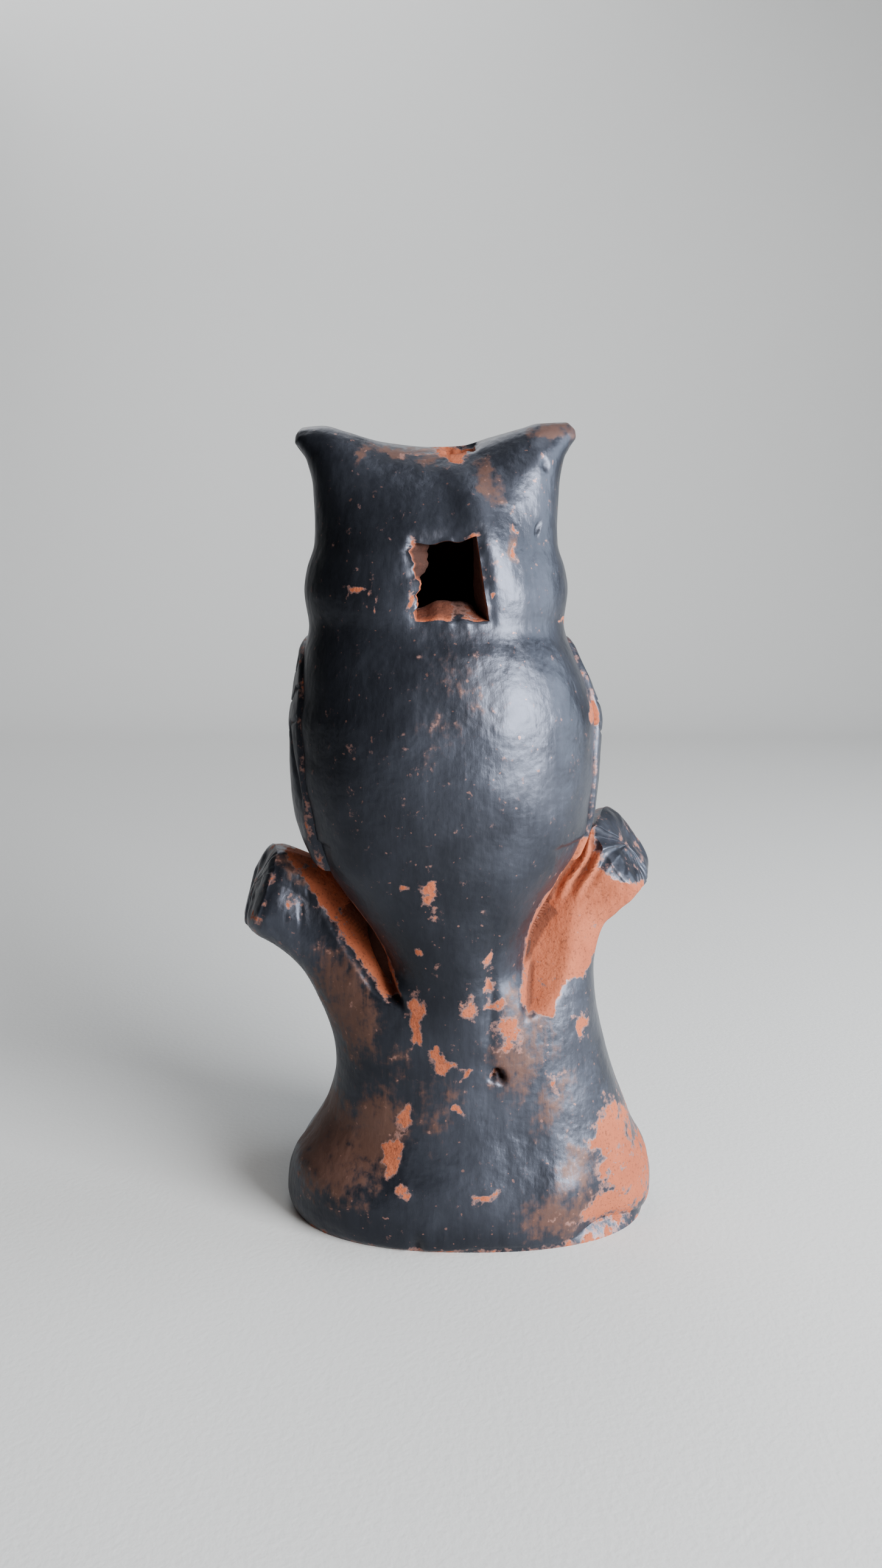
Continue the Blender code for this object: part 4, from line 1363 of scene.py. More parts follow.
    def line_slot(self, mesh: ClayMesh, slot: Opening, skin: Array, points: Array) -> None:
        """Runs the blowing channel down from the crest and closes it where it passes out of sight."""
        rim = slot.rim(points)
        run = np.array(self.slot_run)
        centre = rim[:-1].mean(axis=0)
        rings = [slot.rim(skin)]
        for share in (0.03, 0.1, 0.22, 0.4, 0.65, 1.0):
            ring = rim + run * share
            flat = centre + run * share + (ring - centre - run * share) * (1 - 0.22 * min(share * 5, 1.0))
            flat += 0.12 * TOOL.read(flat, 0.9)[:, None]
            flat[-1] = flat[0]
            # The channel darkens with depth: painted shade.
            rings.append(mesh.add(flat, sunken=0.6 * share, bare=1.4))
        mesh.weave(np.stack(rings))
        mesh.fan(rings[-1], centre + run * 1.02)


@dataclass
class FrontShell(Shell):
    """The front half: face, breast and the stump's bark, which are guessed in the same manner."""

    back: bool = False
    feather: float = 5.2
    disc_apart: float = 8.1
    disc_z: float = 112.0

    def front_relief(self, points: Array) -> Array:
        """Brow ridges, facial discs, breast feathers and bark grooves, in millimetres."""
        x = points[..., 0] - FORM.lean(points[..., 2])
        z = points[..., 2]
        depth = np.zeros(x.shape)
        for side in (-1, 1):
            across = x - side * self.disc_apart
            away = np.hypot(across, z - self.disc_z)
            depth += 0.55 * np.exp(-(((away - 8.4) / 0.9) ** 2)) * rise(4.0, 10.0, side * x + 5)
            depth -= 0.5 * np.exp(-((away / 7.0) ** 4))
            spokes = np.sin(np.arctan2(z - self.disc_z, across) * 22.0)
            depth -= 0.10 * rise(0.2, 0.9, spokes) * np.exp(-(((away - 6.9) / 0.9) ** 4))
        brow = z - (109.0 + 0.78 * np.abs(x))
        shown = rise(108.0, 112.0, z) * (1 - rise(15.0, 20.0, np.abs(x)))
        depth += 0.9 * np.exp(-((brow / 1.5) ** 2)) * shown
        depth += self.feathers(x, z)
        depth += self.bark(points)
        collar = z - 98.2 + 0.012 * x * x
        depth -= 0.45 * np.exp(-((collar / 0.8) ** 2))
        return depth

    def feathers(self, x: Array, z: Array) -> Array:
        """Rows of scalloped marks: in each cell a groove follows the lower half of a circle."""
        row = np.floor(z / self.feather)
        u = np.mod(x / self.feather + 0.5 * np.mod(row, 2), 1.0) - 0.5
        v = z / self.feather - row - 0.55
        ring = np.hypot(u, v)
        groove = np.exp(-(((ring - 0.40) / 0.055) ** 2)) * rise(-0.15, 0.1, -v)
        shaft = np.exp(-((u / 0.05) ** 2)) * rise(0.0, 0.1, 0.2 - np.abs(v + 0.1))
        shown = rise(62.0, 66.0, z) * (1 - rise(92.0, 96.0, z)) * (1 - rise(11.5, 14.0, np.abs(x)))
        return -0.34 * (groove + 0.6 * shaft) * shown

    @staticmethod
    def bark(points: Array) -> Array:
        """Wavering upright grooves round the front of the stump, and the ledge under the feet."""
        x, y, z = np.moveaxis(points, -1, 0)
        around = np.arctan2(y, x)
        wander = 0.55 * np.sin(z * 0.16) + 0.9 * HAND.read(points, (9.0, 9.0, 18.0))
        grooves = rise(0.55, 0.98, np.sin(around * 13.0 + wander))
        broken = 0.6 + 0.4 * HAND.read(points + 9.0, (4.0, 4.0, 6.0))
        shown = rise(3.0, 8.0, z) * (1 - rise(42.0, 47.0, z)) * rise(1.5, 6.0, -y)
        ledge = 0.7 * np.exp(-(((z - 47.2) / 1.6) ** 2)) * rise(2.0, 9.0, -y)
        return ledge - 0.6 * grooves * broken * shown

    def make(self) -> ClayMesh:
        """Builds the half."""
        self.relief = self.front_relief
        return super().make()


@dataclass
class Body:
    """The two pressed halves with what closes them: foot slab, plug and luting coils."""

    graphite: bpy.types.Material
    clay: bpy.types.Material

    def build(self) -> None:
        """Makes both shells, and dresses the CAD nodes that stay as they are."""
        for shell in (BackShell(), FrontShell()):
            settle(shell.make().write(shell.name + "_skin"), self.graphite, Slot.GRAPHITE, shell.name)
        for node in ("base_slab", "windway_plug", "left_seam_coil", "right_seam_coil"):
            dress_node(node, self.clay)


def dress_node(node: str, material: bpy.types.Material) -> None:
    """Puts a finish on a CAD node that stays."""
    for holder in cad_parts[node].material_slots:
        holder.material = material


# ---------------------------------------------------------------- branches


@dataclass
class Branch:
    """A lopped branch: rounded-square sections swept along its path, smeared on to the stump at the root."""

    path: LimbPath
    graphite: bpy.types.Material
    around: int = 200
    along: int = 190
    cap_rings: int = 30

    def sleeve(self, share: Array) -> Array:
        """The swept side: centre + across * r cos + deep * r sin, with r a superellipse.

        Towards the cut each section is sheared along the branch, so that the back is shorter than the
        front and the cut turns to face backwards.
        """
        turn = np.linspace(0.0, 2 * math.pi, self.around + 1)
        centre, half, depth, across, deep, ahead = self.path.sections(share)
        power = np.array(self.path.squareness)
        radius = FigureForm.superellipse(turn[None], half[:, None], depth[:, None], power)
        sideways = (radius * np.cos(turn))[..., None] * across[:, None]
        upright = (radius * np.sin(turn))[..., None] * deep[:, None]
        points = centre[:, None] + sideways + upright
        behind = points[..., 1] - centre[:, 1:2]
        shear = self.path.cut_back * rise(0.35, 1.0, share)[:, None] * behind
        return points - ahead[:, None] * shear[..., None]

    def worked(self, points: Array, share: Array) -> Array:
        """Joins the sleeve to the stump, presses facets into its free end and gouges its back.

        Args:
            points: The sleeve's grid.
            share: How far along the branch each row lies.

        Returns:
            The finished grid.
        """
        out = unit(points - points.mean(axis=1, keepdims=True))
        moved, sunk = FORM.joined(points, out, self.path, from_limb=True)
        moved = FORM.carve(moved, sunk)
        normals = normals_along(moved, out)
        turn = np.linspace(0.0, 2 * math.pi, points.shape[1])[None]
        free = rise(1.0, 6.0, FORM.stump_outside(points))
        facets = 0.30 * np.abs(np.sin(turn * 3.5 + 0.7 + share[:, None] * 0.8)) - 0.2
        end = rise(0.90, 1.0, share)[:, None]
        depth = hand_marks(moved) + free * (facets + 0.30 * HAND.read(moved, 6.5)) - 0.6 * end**3
        behind = rise(-1.0, 1.5, moved[..., 1])
        depth = depth - free * behind * 0.10 * rise(0.2, 0.9, TOOL.read(moved, (1.2, 1.2, 4.0)))
        return moved + normals * depth[..., None]

    def build(self) -> bpy.types.Object:
        """Makes the branch."""
        share = np.linspace(0.0, 1.0, self.along)
        points = self.worked(self.sleeve(share), share)
        points[:, -1] = points[:, 0]
        normals = normals_along(points, points - points.mean(axis=1, keepdims=True))
        mesh = ClayMesh()
        rim_wear = 0.30 * rise(0.93, 0.985, share)[:, None] + 0.0 * points[..., 0]
        hollow = np.clip(hollowness(points, normals, 3), -0.5, 0.5)
        # Hollowness is kept for the finish to darken as painted shade.
        sleeve = mesh.add(points, hollow, bare=rim_wear)
        mesh.weave(sleeve)
        self.cap(mesh, sleeve[-1], points)
        mesh.fan(sleeve[0], points[0, :-1].mean(axis=0))
        name = f"{self.path.side.word}_branch"
        return settle(mesh.write(name + "_lopped", 42.0), self.graphite, Slot.GRAPHITE, name)

    def cap(self, mesh: ClayMesh, edge: Array, points: Array) -> None:
        """The cut: rings that shrink to the middle, crowned by 1 - inset^6 and chopped into strokes.

        Args:
            mesh: Where it goes.
            edge: Indices of the sleeve's last ring.
            points: The sleeve's grid.
        """
        rim = points[-1]
        centre = rim[:-1].mean(axis=0)
        spread = rim[:-1] - centre
        outward = np.linalg.svd(spread, full_matrices=False)[2][2]
        outward = outward * np.sign(np.dot(outward, (points[-1] - points[-9])[:-1].mean(axis=0)))
        rings = [edge]
        for ring in range(1, self.cap_rings):
            inset = 1 - ring / self.cap_rings
            cap = centre + (rim - centre) * inset
            strokes = 0.34 * HAND.read(cap, (2.4, 2.4, 5.0)) + 0.14 * TOOL.read(cap, (0.9, 1.4, 2.6))
            rise_by = 0.9 * (1 - inset**6) + strokes * (1 - inset**5)
            cap = cap + outward * rise_by[:, None]
            cap[-1] = cap[0]
            worn = 0.30 * rise(-0.1, 0.6, HAND.read(cap + 5.0, 2.4)) + 0.12 * inset**4
            # The low places between the strokes are darkened as painted shade.
            rings.append(mesh.add(cap, sunken=-strokes, bare=worn))
        mesh.weave(np.stack(rings))
        mesh.fan(rings[-1], centre + outward * 0.9)


# ---------------------------------------------------------------- wings


@dataclass
class Wing:
    """A leaf of clay laid on the flank, with a rolled edge and three rows of incised feathers."""

    side: Side
    graphite: bpy.types.Material
    outline: tuple[tuple[float, float], ...]
    thick: float = 1.25
    rings: int = 90
    around: int = 260
    middle: tuple[float, float] = (0.4, 80.0)
    shoulder: tuple[float, float] = (-3.0, 101.0)

    def border(self, turn: Array) -> Array:
        """The outline as one closed smooth curve: a periodic cubic through its corners."""
        corners = np.array(self.outline)
        closed = np.concatenate((corners[-3:], corners, corners[:4]))
        place = np.arange(-3, len(corners) + 4) / len(corners)
        return np.stack([self.catmull(place, closed[:, k], turn) for k in range(2)], axis=-1)

    @staticmethod
    def catmull(place: Array, values: Array, where: Array) -> Array:
        """A cubic through evenly placed values, each with the slope of the chord across it."""
        slope = np.gradient(values, place)
        gap = place[1] - place[0]
        k = np.clip(np.floor((where - place[0]) / gap).astype(int), 0, len(place) - 2)
        return hermite(values, slope, k, gap, (where - place[k]) / gap)

    def flank(self, y: Array, z: Array, proud: Array) -> Array:
        """The side of the owl at y and z, set out by proud: lean + half * (1 - (|y|/depth)^p)^(1/p)."""
        level = FORM.level_at(z)
        depth = np.where(y >= 0, FORM.column(level, 2), FORM.column(level, 3))
        half = FORM.column(level, 1)
        power = FORM.column(level, 4)
        inside = np.maximum(1 - (np.abs(y) / (depth + 0.5)) ** power, 0.0) ** (1 / power)
        return FORM.lean(z) + self.side.value * (half * inside + proud)

    def feathers(self, y: Array, z: Array) -> Array:
        """Grooves that fan from the shoulder, crossed by two scalloped rows of coverts."""
        dy, dz = y - self.shoulder[0], z - self.shoulder[1]
        away = np.hypot(dy, dz)
        fan = np.arctan2(dy, -dz)
        quills = np.exp(-((np.sin(fan * 13.0 + 0.02 * away) / 0.30) ** 2)) * rise(17.0, 20.0, away)
        rows = np.zeros(y.shape)
        for reach in (9.5, 14.0, 18.5):
            wave = 1.0 * np.abs(np.sin(fan * 8.0 + reach))
            rows = np.maximum(rows, np.exp(-(((away - reach - wave) / 0.32) ** 2)))
        return np.maximum(quills * 0.9, rows)

    def build(self) -> bpy.types.Object:
        """Makes the wing: a domed top over the outline and a flat underside sunk into the flank."""
        turn = np.linspace(0.0, 1.0, self.around + 1)
        rim = self.border(turn)
        centre = np.array(self.middle)
        share = (np.linspace(0.0, 1.0, self.rings) ** 0.75)[::-1]
        flat = centre + (rim - centre)[None] * share[:, None, None]
        y, z = flat[..., 0], flat[..., 1]
        edge = np.clip((1 - share) / 0.10, 0.0, 1.0)[:, None]
        height = self.thick * np.sqrt(np.clip(1 - (1 - edge) ** 2, 0.0, 1.0))
        height = height * (0.75 + 0.25 * rise(0.0, 0.5, 1 - share))[:, None]
        cut = 0.42 * self.feathers(y, z) * rise(0.35, 1.0, edge)
        spot = np.stack((np.full_like(y, self.side.value * 24.0), y, z), axis=-1)
        hand = 0.20 * HAND.read(spot, 6.0) + 0.05 * TOOL.read(spot, 1.5)
        x = self.flank(y, z, height - cut + hand * edge)
        top = np.stack((x, y, z), axis=-1)
        top[:, -1] = top[:, 0]
        mesh = ClayMesh()
        worn = 0.32 * (1 - rise(0.2, 0.9, edge)) + 0.0 * y
        # The incised feathers are darkened as painted shade.
        grid = mesh.add(top, sunken=cut * 0.8, bare=worn)
        mesh.weave(grid)
        mesh.fan(grid[-1], top[-1, :-1].mean(axis=0))
        under = np.stack((self.flank(rim[:, 0], rim[:, 1], np.array(-1.5)), rim[:, 0], rim[:, 1]), -1)
        under[-1] = under[0]
        lower = mesh.add(under)
        mesh.weave(np.stack((grid[0], lower)))
        mesh.fan(lower, under[:-1].mean(axis=0))
        piece = mesh.write(f"{self.side.word}_wing_feathered", 60.0)
        return settle(piece, self.graphite, Slot.GRAPHITE, f"{self.side.word}_wing")


# ---------------------------------------------------------------- face and feet


@dataclass
class Face:
    """Eye rings, eyes and beak, pressed on to the front of the head."""

    graphite: bpy.types.Material
    eye_apart: float = 8.1
    eye_z: float = 112.2
    ring_radius: float = 5.9
    ring_tube: float = 1.15
    ball: float = 3.7
    beak_top: float = 109.5
    beak_tip: float = 101.5
    beak_middle: float = 105.0

    def front(self, x: Array, z: Array) -> Array:
        """Y of the front shell at x and z."""
        return -FORM.owl_depth(x, z, front=True)

    def ring(self, side: Side) -> None:
        """A coil carried round the eye, its tube nicked all round like short feathers."""
        turn, tube = tube_grid(161, 33, 2 * math.pi)
        nicks = 0.16 * rise(0.3, 1.0, np.sin(turn * 18.0)) * rise(0.0, 0.6, np.cos(tube - 1.0))
        thick = self.ring_tube * (1 + 0.06 * np.sin(turn * 3 + side.value)) - nicks
        middle = FORM.middle(self.eye_z) + side.value * self.eye_apart
        reach = self.ring_radius + thick * np.cos(tube)
        x = middle + reach * np.cos(turn)
        z = self.eye_z + reach * np.sin(turn)
        y = self.front(x, z) - thick * np.sin(tube) * 1.1 + 0.25
        points = np.stack((x, y, z), axis=-1)
        points[-1], points[:, -1] = points[0], points[:, 0]
        mesh = ClayMesh()
        # The nicks are darkened as painted shade.
        mesh.weave(mesh.add(points, sunken=nicks, bare=0.25 * rise(0.4, 1.0, np.sin(tube))))
        name = f"{side.word}_eye_ring"
        settle(mesh.write(name + "_coil", 60.0), self.graphite, Slot.GRAPHITE, name)

    def eye(self, side: Side) -> None:
        """A flattened ball with a pricked pupil: radius times sin and cos, dented by a narrow bell."""
        turn, dip = np.meshgrid(
            np.linspace(0, 2 * math.pi, 97), np.linspace(0, math.pi, 61), indexing="ij"
        )
        middle = FORM.middle(self.eye_z) + side.value * self.eye_apart
        out = self.ball * np.sin(dip)
        pupil = 0.9 * np.exp(-((out / 1.15) ** 2)) * (np.cos(dip) > 0)
        x = middle + out * np.cos(turn)
        z = self.eye_z + out * np.sin(turn)
        seat = float(self.front(np.array(middle), np.array(self.eye_z)))
        y = seat + 0.5 - (self.ball * 0.60) * np.cos(dip) + pupil
        points = np.stack((x, y, z), axis=-1)
        points[:, 0], points[:, -1] = points[0, 0], points[0, -1]
        points[-1] = points[0]
        mesh = ClayMesh()
        # The pricked pupil is darkened as painted shade.
        mesh.weave(mesh.add(points, sunken=pupil))
        name = f"{side.word}_eye"
        settle(mesh.write(name + "_ball", 60.0), self.graphite, Slot.GRAPHITE, name)

    def beak(self) -> None:
        """A hooked pinch of clay: rings that shrink and curl under from its root to its tip.

        Ring k is an ellipse of half width w(k) and reach d(k), lowered along a quarter turn.
        """
        share, turn = tube_grid(49, 65)
        middle = FORM.middle(self.beak_middle)
        z = self.beak_top + 0.4 - (self.beak_top - self.beak_tip + 0.4) * share
        wide = 3.0 * np.sqrt(np.clip(share * 5, 0, 1)) * (1 - share**1.6) ** 0.7
        deep = 4.3 * np.sin(np.pi * np.clip(share * 0.62 + 0.02, 0, 1)) * (1 - share**5) ** 0.5
        ridge = 0.25 * np.cos(turn * 2)
        x = middle + wide * np.cos(turn)
        y = self.front(x * 0 + middle, z) + 0.8 - deep * np.maximum(np.sin(turn), -0.35) * (1 + ridge * 0.3)
        points = close_tube(np.stack((x, y, z), axis=-1))
        mesh = ClayMesh()
        mesh.weave(mesh.add(points, bare=0.35 * rise(0.6, 1.0, share) + 0 * turn))
        settle(mesh.write("beak_hook", 60.0), self.graphite, Slot.GRAPHITE, "beak")

    def build(self) -> None:
        """Makes the five pieces."""
        for side in Side:
            self.ring(side)
            self.eye(side)
        self.beak()


@dataclass
class Foot:
    """Three toes folded over the stump's ledge, each a bent, jointed pad with a claw."""

    side: Side
    graphite: bpy.types.Material
    apart: float = 8.0
    height: float = 52.5
    spread: float = 3.7
    curl: float = 1.75  # how far a toe bends, in radians
    reach: float = 2.3
    drop: float = 7.6
    arch: float = 0.8

    def toe(self, mesh: ClayMesh, across: float) -> None:
        """One toe: discs along an arc that leaves the breast and turns down, swollen at two joints.

        Args:
            mesh: Where it goes.
            across: Sideways place of the toe.
        """
        share, turn = tube_grid(57, 49)
        middle = FORM.middle(self.height) + self.side.value * self.apart + across
        bend = share * self.curl
        seat = -float(FORM.radius(FORM.level_at(np.array(self.height)), np.array(-math.pi / 2)))
        joints = 0.22 * np.sin(share * 3 * math.pi) ** 2
        thick = (1.65 + joints) * np.sqrt(np.clip(1 - (2 * share - 1) ** 6, 0, 1))
        taper = 1 - 0.45 * rise(0.6, 1.0, share)
        y = seat + 0.9 - self.reach * np.sin(bend)
        z = self.height + 2.6 - self.drop * share + self.arch * np.sin(bend)
        ahead_y = -self.reach * self.curl * np.cos(bend)
        ahead_z = -self.drop + self.arch * self.curl * np.cos(bend)
        size = np.hypot(ahead_y, ahead_z)
        out_y, out_z = ahead_z / size, -ahead_y / size
        x = middle + across * 0.18 * share + thick * taper * np.cos(turn)
        y = y + thick * taper * np.sin(turn) * out_y
        z = z + thick * taper * np.sin(turn) * out_z
        points = close_tube(np.stack((x, y, z), axis=-1))
        mesh.weave(mesh.add(points, bare=0.22 * rise(0.2, 0.8, -out_y + 0 * turn)))

    def build(self) -> bpy.types.Object:
        """Makes the foot."""
        mesh = ClayMesh()
        for across in (-self.spread, 0.0, self.spread):
            self.toe(mesh, across)
        name = f"{self.side.word}_foot"
        return settle(mesh.write(name + "_toes", 60.0), self.graphite, Slot.GRAPHITE, name)


# ---------------------------------------------------------------- finishes


class Shade:
    """A shader socket that can be added, multiplied and so on; each operation adds one Math node."""

    def __init__(self, graph: "Graph", socket: Any) -> None:
        """Wraps a socket."""
        self.graph = graph
        self.socket = socket

    def __add__(self, other: "Shade | float") -> "Shade":
        """Self plus other."""
        return self.graph.maths("ADD", self, other)

    def __sub__(self, other: "Shade | float") -> "Shade":
        """Self minus other."""
        return self.graph.maths("SUBTRACT", self, other)

    def __mul__(self, other: "Shade | float") -> "Shade":
        """Self times other."""
        return self.graph.maths("MULTIPLY", self, other)

    def __rsub__(self, other: float) -> "Shade":
        """Other minus self."""
        return self.graph.maths("SUBTRACT", other, self)

    __radd__ = __add__
    __rmul__ = __mul__

    def clamp(self) -> "Shade":
        """Held between 0 and 1."""
        return self.graph.maths("ADD", self, 0.0, use_clamp=True)

    def step(self, low: float, high: float) -> "Shade":
        """Smoothstep from low to high."""
        return self.graph.node(
            "ShaderNodeMapRange",
            {"interpolation_type": "SMOOTHSTEP"},
            {"Value": self, "From Min": low, "From Max": high},
        )


class Graph:
    """One material's node tree."""

    def __init__(self, name: str) -> None:
        """Makes an empty material."""
        self.material = bpy.data.materials.new(name)
        self.material.use_nodes = True
        self.tree = self.material.node_tree
        self.tree.nodes.clear()

    def node(
        self, kind: str, settings: dict[str, Any], inputs: dict[str | int, Any], out: str | int = 0
    ) -> Shade:
        """Adds a node.

        Args:
            kind: The node's type.
            settings: Its properties, which are set first.
            inputs: Values or sockets for its inputs, by name or number.
            out: Which output to hand back.

        Returns:
            That output, wrapped.
        """
        made = self.tree.nodes.new(kind)
        for key, value in settings.items():
            setattr(made, key, value)
        for key, value in inputs.items():
            socket = made.inputs[key]
            if isinstance(value, Shade):
                self.tree.links.new(value.socket, socket)
            else:
                socket.default_value = value
        return Shade(self, made.outputs[out])

    def maths(self, operation: str, a: Any, b: Any, use_clamp: bool = False) -> Shade:
        """One Math node."""
        settings = {"operation": operation, "use_clamp": use_clamp}
        return self.node("ShaderNodeMath", settings, {0: a, 1: b})

    def attribute(self, name: str) -> Shade:
        """A number kept at the mesh's vertices."""
        return self.node("ShaderNodeAttribute", {"attribute_name": name}, {}, "Fac")

    def place(self, scale: tuple[float, float, float] = (1000.0, 1000.0, 1000.0)) -> Shade:
        """Object coordinates, in millimetres unless stretched."""
        coordinates = self.node("ShaderNodeTexCoord", {}, {}, "Object")
        return self.node("ShaderNodeMapping", {}, {"Vector": coordinates, "Scale": scale})

    def noise(self, where: Shade, wave: float, detail: float = 3.0, rough: float = 0.55) -> Shade:
        """Fractal noise between 0 and 1, whose largest waves are so many millimetres."""
        return self.node(
            "ShaderNodeTexNoise",
            {},
            {"Vector": where, "Scale": 1.0 / wave, "Detail": detail, "Roughness": rough},
        )

    def mix(self, share: Shade | float, a: Any, b: Any) -> Shade:
        """Colour a turning into colour b."""
        return self.node(
            "ShaderNodeMix", {"data_type": "RGBA"}, {0: share, 6: self.opaque(a), 7: self.opaque(b)}, 2
        )

    @staticmethod
    def opaque(colour: Any) -> Any:
        """A bare colour with its fourth value added."""
        return colour if isinstance(colour, Shade) else (*colour, 1.0)

    def bump(self, height: Shade, distance: float, normal: Shade | None = None) -> Shade:
        """A Bump node of so many millimetres."""
        inputs: dict[str | int, Any] = {"Height": height, "Distance": distance * MM, "Strength": 1.0}
        if normal is not None:
            inputs["Normal"] = normal
        return self.node("ShaderNodeBump", {}, inputs)

    def finish(self, inputs: dict[str | int, Any]) -> bpy.types.Material:
        """Ends the tree in a Principled shader with these inputs."""
        shader = self.node("ShaderNodeBsdfPrincipled", {}, inputs)
        output = self.tree.nodes.new("ShaderNodeOutputMaterial")
        self.tree.links.new(shader.socket, output.inputs["Surface"])
        return self.material


@dataclass(frozen=True)
class Terracotta:
    """Low-fired red clay: warm, matt and a little gritty, with dark specks; its darkest colour also serves
    elsewhere as painted shade in hollows.
    """

    pale: tuple[float, float, float] = (0.34, 0.094, 0.042)
    deep: tuple[float, float, float] = (0.22, 0.050, 0.020)
    # the dark of grit specks, also used as painted shade in hollows and recesses
    soot_and_shade: tuple[float, float, float] = (0.026, 0.010, 0.007)
    roughness: float = 0.86

    def colour(self, graph: Graph, where: Shade) -> Shade:
        """Mottled clay colour."""
        broad = graph.noise(where, 7.0, 4.0)
        grit = graph.noise(where, 0.45, 2.0)
        body = graph.mix((broad * 1.4 - 0.2).clamp(), self.deep, self.pale)
        return graph.mix((1.0 - grit.step(0.30, 0.46)) * 0.45, body, self.soot_and_shade)

    def material(self) -> bpy.types.Material:
        """The finish on its own, as inside the whistle."""
        graph = Graph("bare_terracotta")
        where = graph.place()
        rough = graph.noise(where, 1.3, 4.0, 0.6)
        bump = graph.bump(rough, 0.22)
        return graph.finish(
            {"Base Color": self.colour(graph, where), "Roughness": self.roughness, "Normal": bump}
        )


@dataclass(frozen=True)
class BurnishedGraphite:
    """Graphite slip rubbed to a soft metallic sheen, thin over ridges and gone from the worn places; hollows
    and the unburnished patches are darkened with painted shade.
    """

    clay: Terracotta
    cool: tuple[float, float, float] = (0.066, 0.072, 0.092)
    dark: tuple[float, float, float] = (0.024, 0.026, 0.034)
    matt: tuple[float, float, float] = (0.009, 0.010, 0.013)
    warm: tuple[float, float, float] = (0.100, 0.044, 0.027)
    blush: tuple[float, float, float] = (0.26, 0.130, 0.105)
    metallic: float = 0.72
    roughness: float = 0.34

    def material(self) -> bpy.types.Material:
        """Builds the worn, burnished finish."""
        graph = Graph("burnished_graphite")
        where = graph.place()
        upright = graph.place((1000.0, 1000.0, 160.0))
        bare, thin, sunken, unburnished_and_shaded = (graph.attribute(name) for name in ("bare", "thin", "sunken", "unburnished_and_shaded"))
        ragged = graph.noise(where, 1.6, 5.0, 0.62)
        speck = graph.noise(where, 0.5, 2.0, 0.5)
        streak = graph.noise(upright, 0.8, 3.0, 0.6)
        dimple = graph.noise(where, 3.2, 2.0, 0.5)
        cloud = graph.noise(where, 9.0, 3.0, 0.5)
        worn = bare + (ragged - 0.5) * 1.9 + (speck - 0.5) * 0.5
        gone = worn.step(0.57, 0.66)
        fringe = worn.step(0.30, 0.58)
        veil_and_reflection = (thin + (ragged - 0.5) * 1.6 + (streak - 0.5) * 0.8).step(0.30, 0.95)
        flake = graph.noise(where, 0.9, 1.0, 0.4).step(0.745, 0.775)

        slip = graph.mix((cloud * 1.3 - 0.2 + (streak - 0.5) * 0.5).clamp(), self.dark, self.cool)
        # Hollows darken the slip: painted shade.
        slip = graph.mix(sunken.step(0.02, 0.5) * 0.6, slip, self.dark)
        # Unburnished patches: matt slip, and painted shade that darkens the lower body and the side away
        # from the light.
        slip = graph.mix(unburnished_and_shaded * 0.7, slip, self.matt)
        # The warm veil is thin slip, and on the nape a painted warm reflection.
        slip = graph.mix((veil_and_reflection * 0.72).clamp(), slip, self.warm)
        slip = graph.mix(fringe * 0.62, slip, self.blush)
        slip = graph.mix(flake * 0.5, slip, self.blush)
        # Bare clay in hollows darkens towards near black: painted shade.
        clay = graph.mix(sunken.step(0.04, 0.45) * 0.6, self.clay.colour(graph, where), self.clay.soot_and_shade)
        colour = graph.mix(gone, slip, clay)
        # Deep recesses turn near black: painted shade in the window, the hollow's lining, pits and grooves.
        colour = graph.mix(sunken.step(0.56, 0.92) * 0.94, colour, self.clay.soot_and_shade)

        metallic = (1.0 - gone) * (1.0 - fringe * 0.55) * (1.0 - veil_and_reflection * 0.55) * self.metallic
        rub = (streak - 0.5) * 0.16 + (cloud - 0.5) * 0.18 + sunken.step(0.0, 0.5) * 0.2
        roughness = (rub + self.roughness + fringe * 0.12 + veil_and_reflection * 0.14 + unburnished_and_shaded * 0.10) * (1.0 - gone)
        roughness = roughness + gone * self.clay.roughness

        fine = graph.noise(where, 0.7, 4.0, 0.6)
        height = streak * 0.22 + fine * (gone * 0.9 + 0.22) + dimple * 1.5 + cloud - gone * 0.45
        return graph.finish(
            {
                "Base Color": colour,
                "Metallic": metallic.clamp(),
                "Specular IOR Level": 0.25,
                "Roughness": roughness.clamp(),
                "Normal": graph.bump(height, 0.16),
            }
        )


@dataclass(frozen=True)
class PaleFloor:
    """A plain matt floor."""

    colour: tuple[float, float, float] = (0.60, 0.595, 0.58)

    def material(self) -> bpy.types.Material:
        """Even, with the faintest tooth."""
        graph = Graph("pale_floor")
        tooth = graph.bump(graph.noise(graph.place(), 1.0, 2.0), 0.05)
        return graph.finish({"Base Color": (*self.colour, 1.0), "Roughness": 0.9, "Normal": tooth})


# ---------------------------------------------------------------- studio


@dataclass(frozen=True)
class Lamp:
    """A soft area light: place and aim in millimetres, size in metres, power in watts."""

    place: tuple[float, float, float]
    aim: tuple[float, float, float]
    size: tuple[float, float]
    watts: float
    colour: tuple[float, float, float] = (0.95, 0.97, 1.0)


LAMPS = (
    Lamp((-450.0, 390.0, 215.0), (0.0, 0.0, 75.0), (0.36, 0.36), 17.0, (0.94, 0.97, 1.0)),
    Lamp((-200.0, 40.0, 620.0), (0.0, 0.0, 70.0), (0.30, 0.30), 1.0),
    Lamp((-250.0, 610.0, 380.0), (0.0, 0.0, 80.0), (0.26, 0.26), 0.8, (1.0, 0.84, 0.70)),
    Lamp((-560.0, -40.0, 130.0), (0.0, 0.0, 80.0), (0.30, 0.50), 3.2, (0.78, 0.89, 1.0)),
    Lamp((200.0, -620.0, 640.0), (0.0, -560.0, 0.0), (0.60, 0.60), 3.0),
)


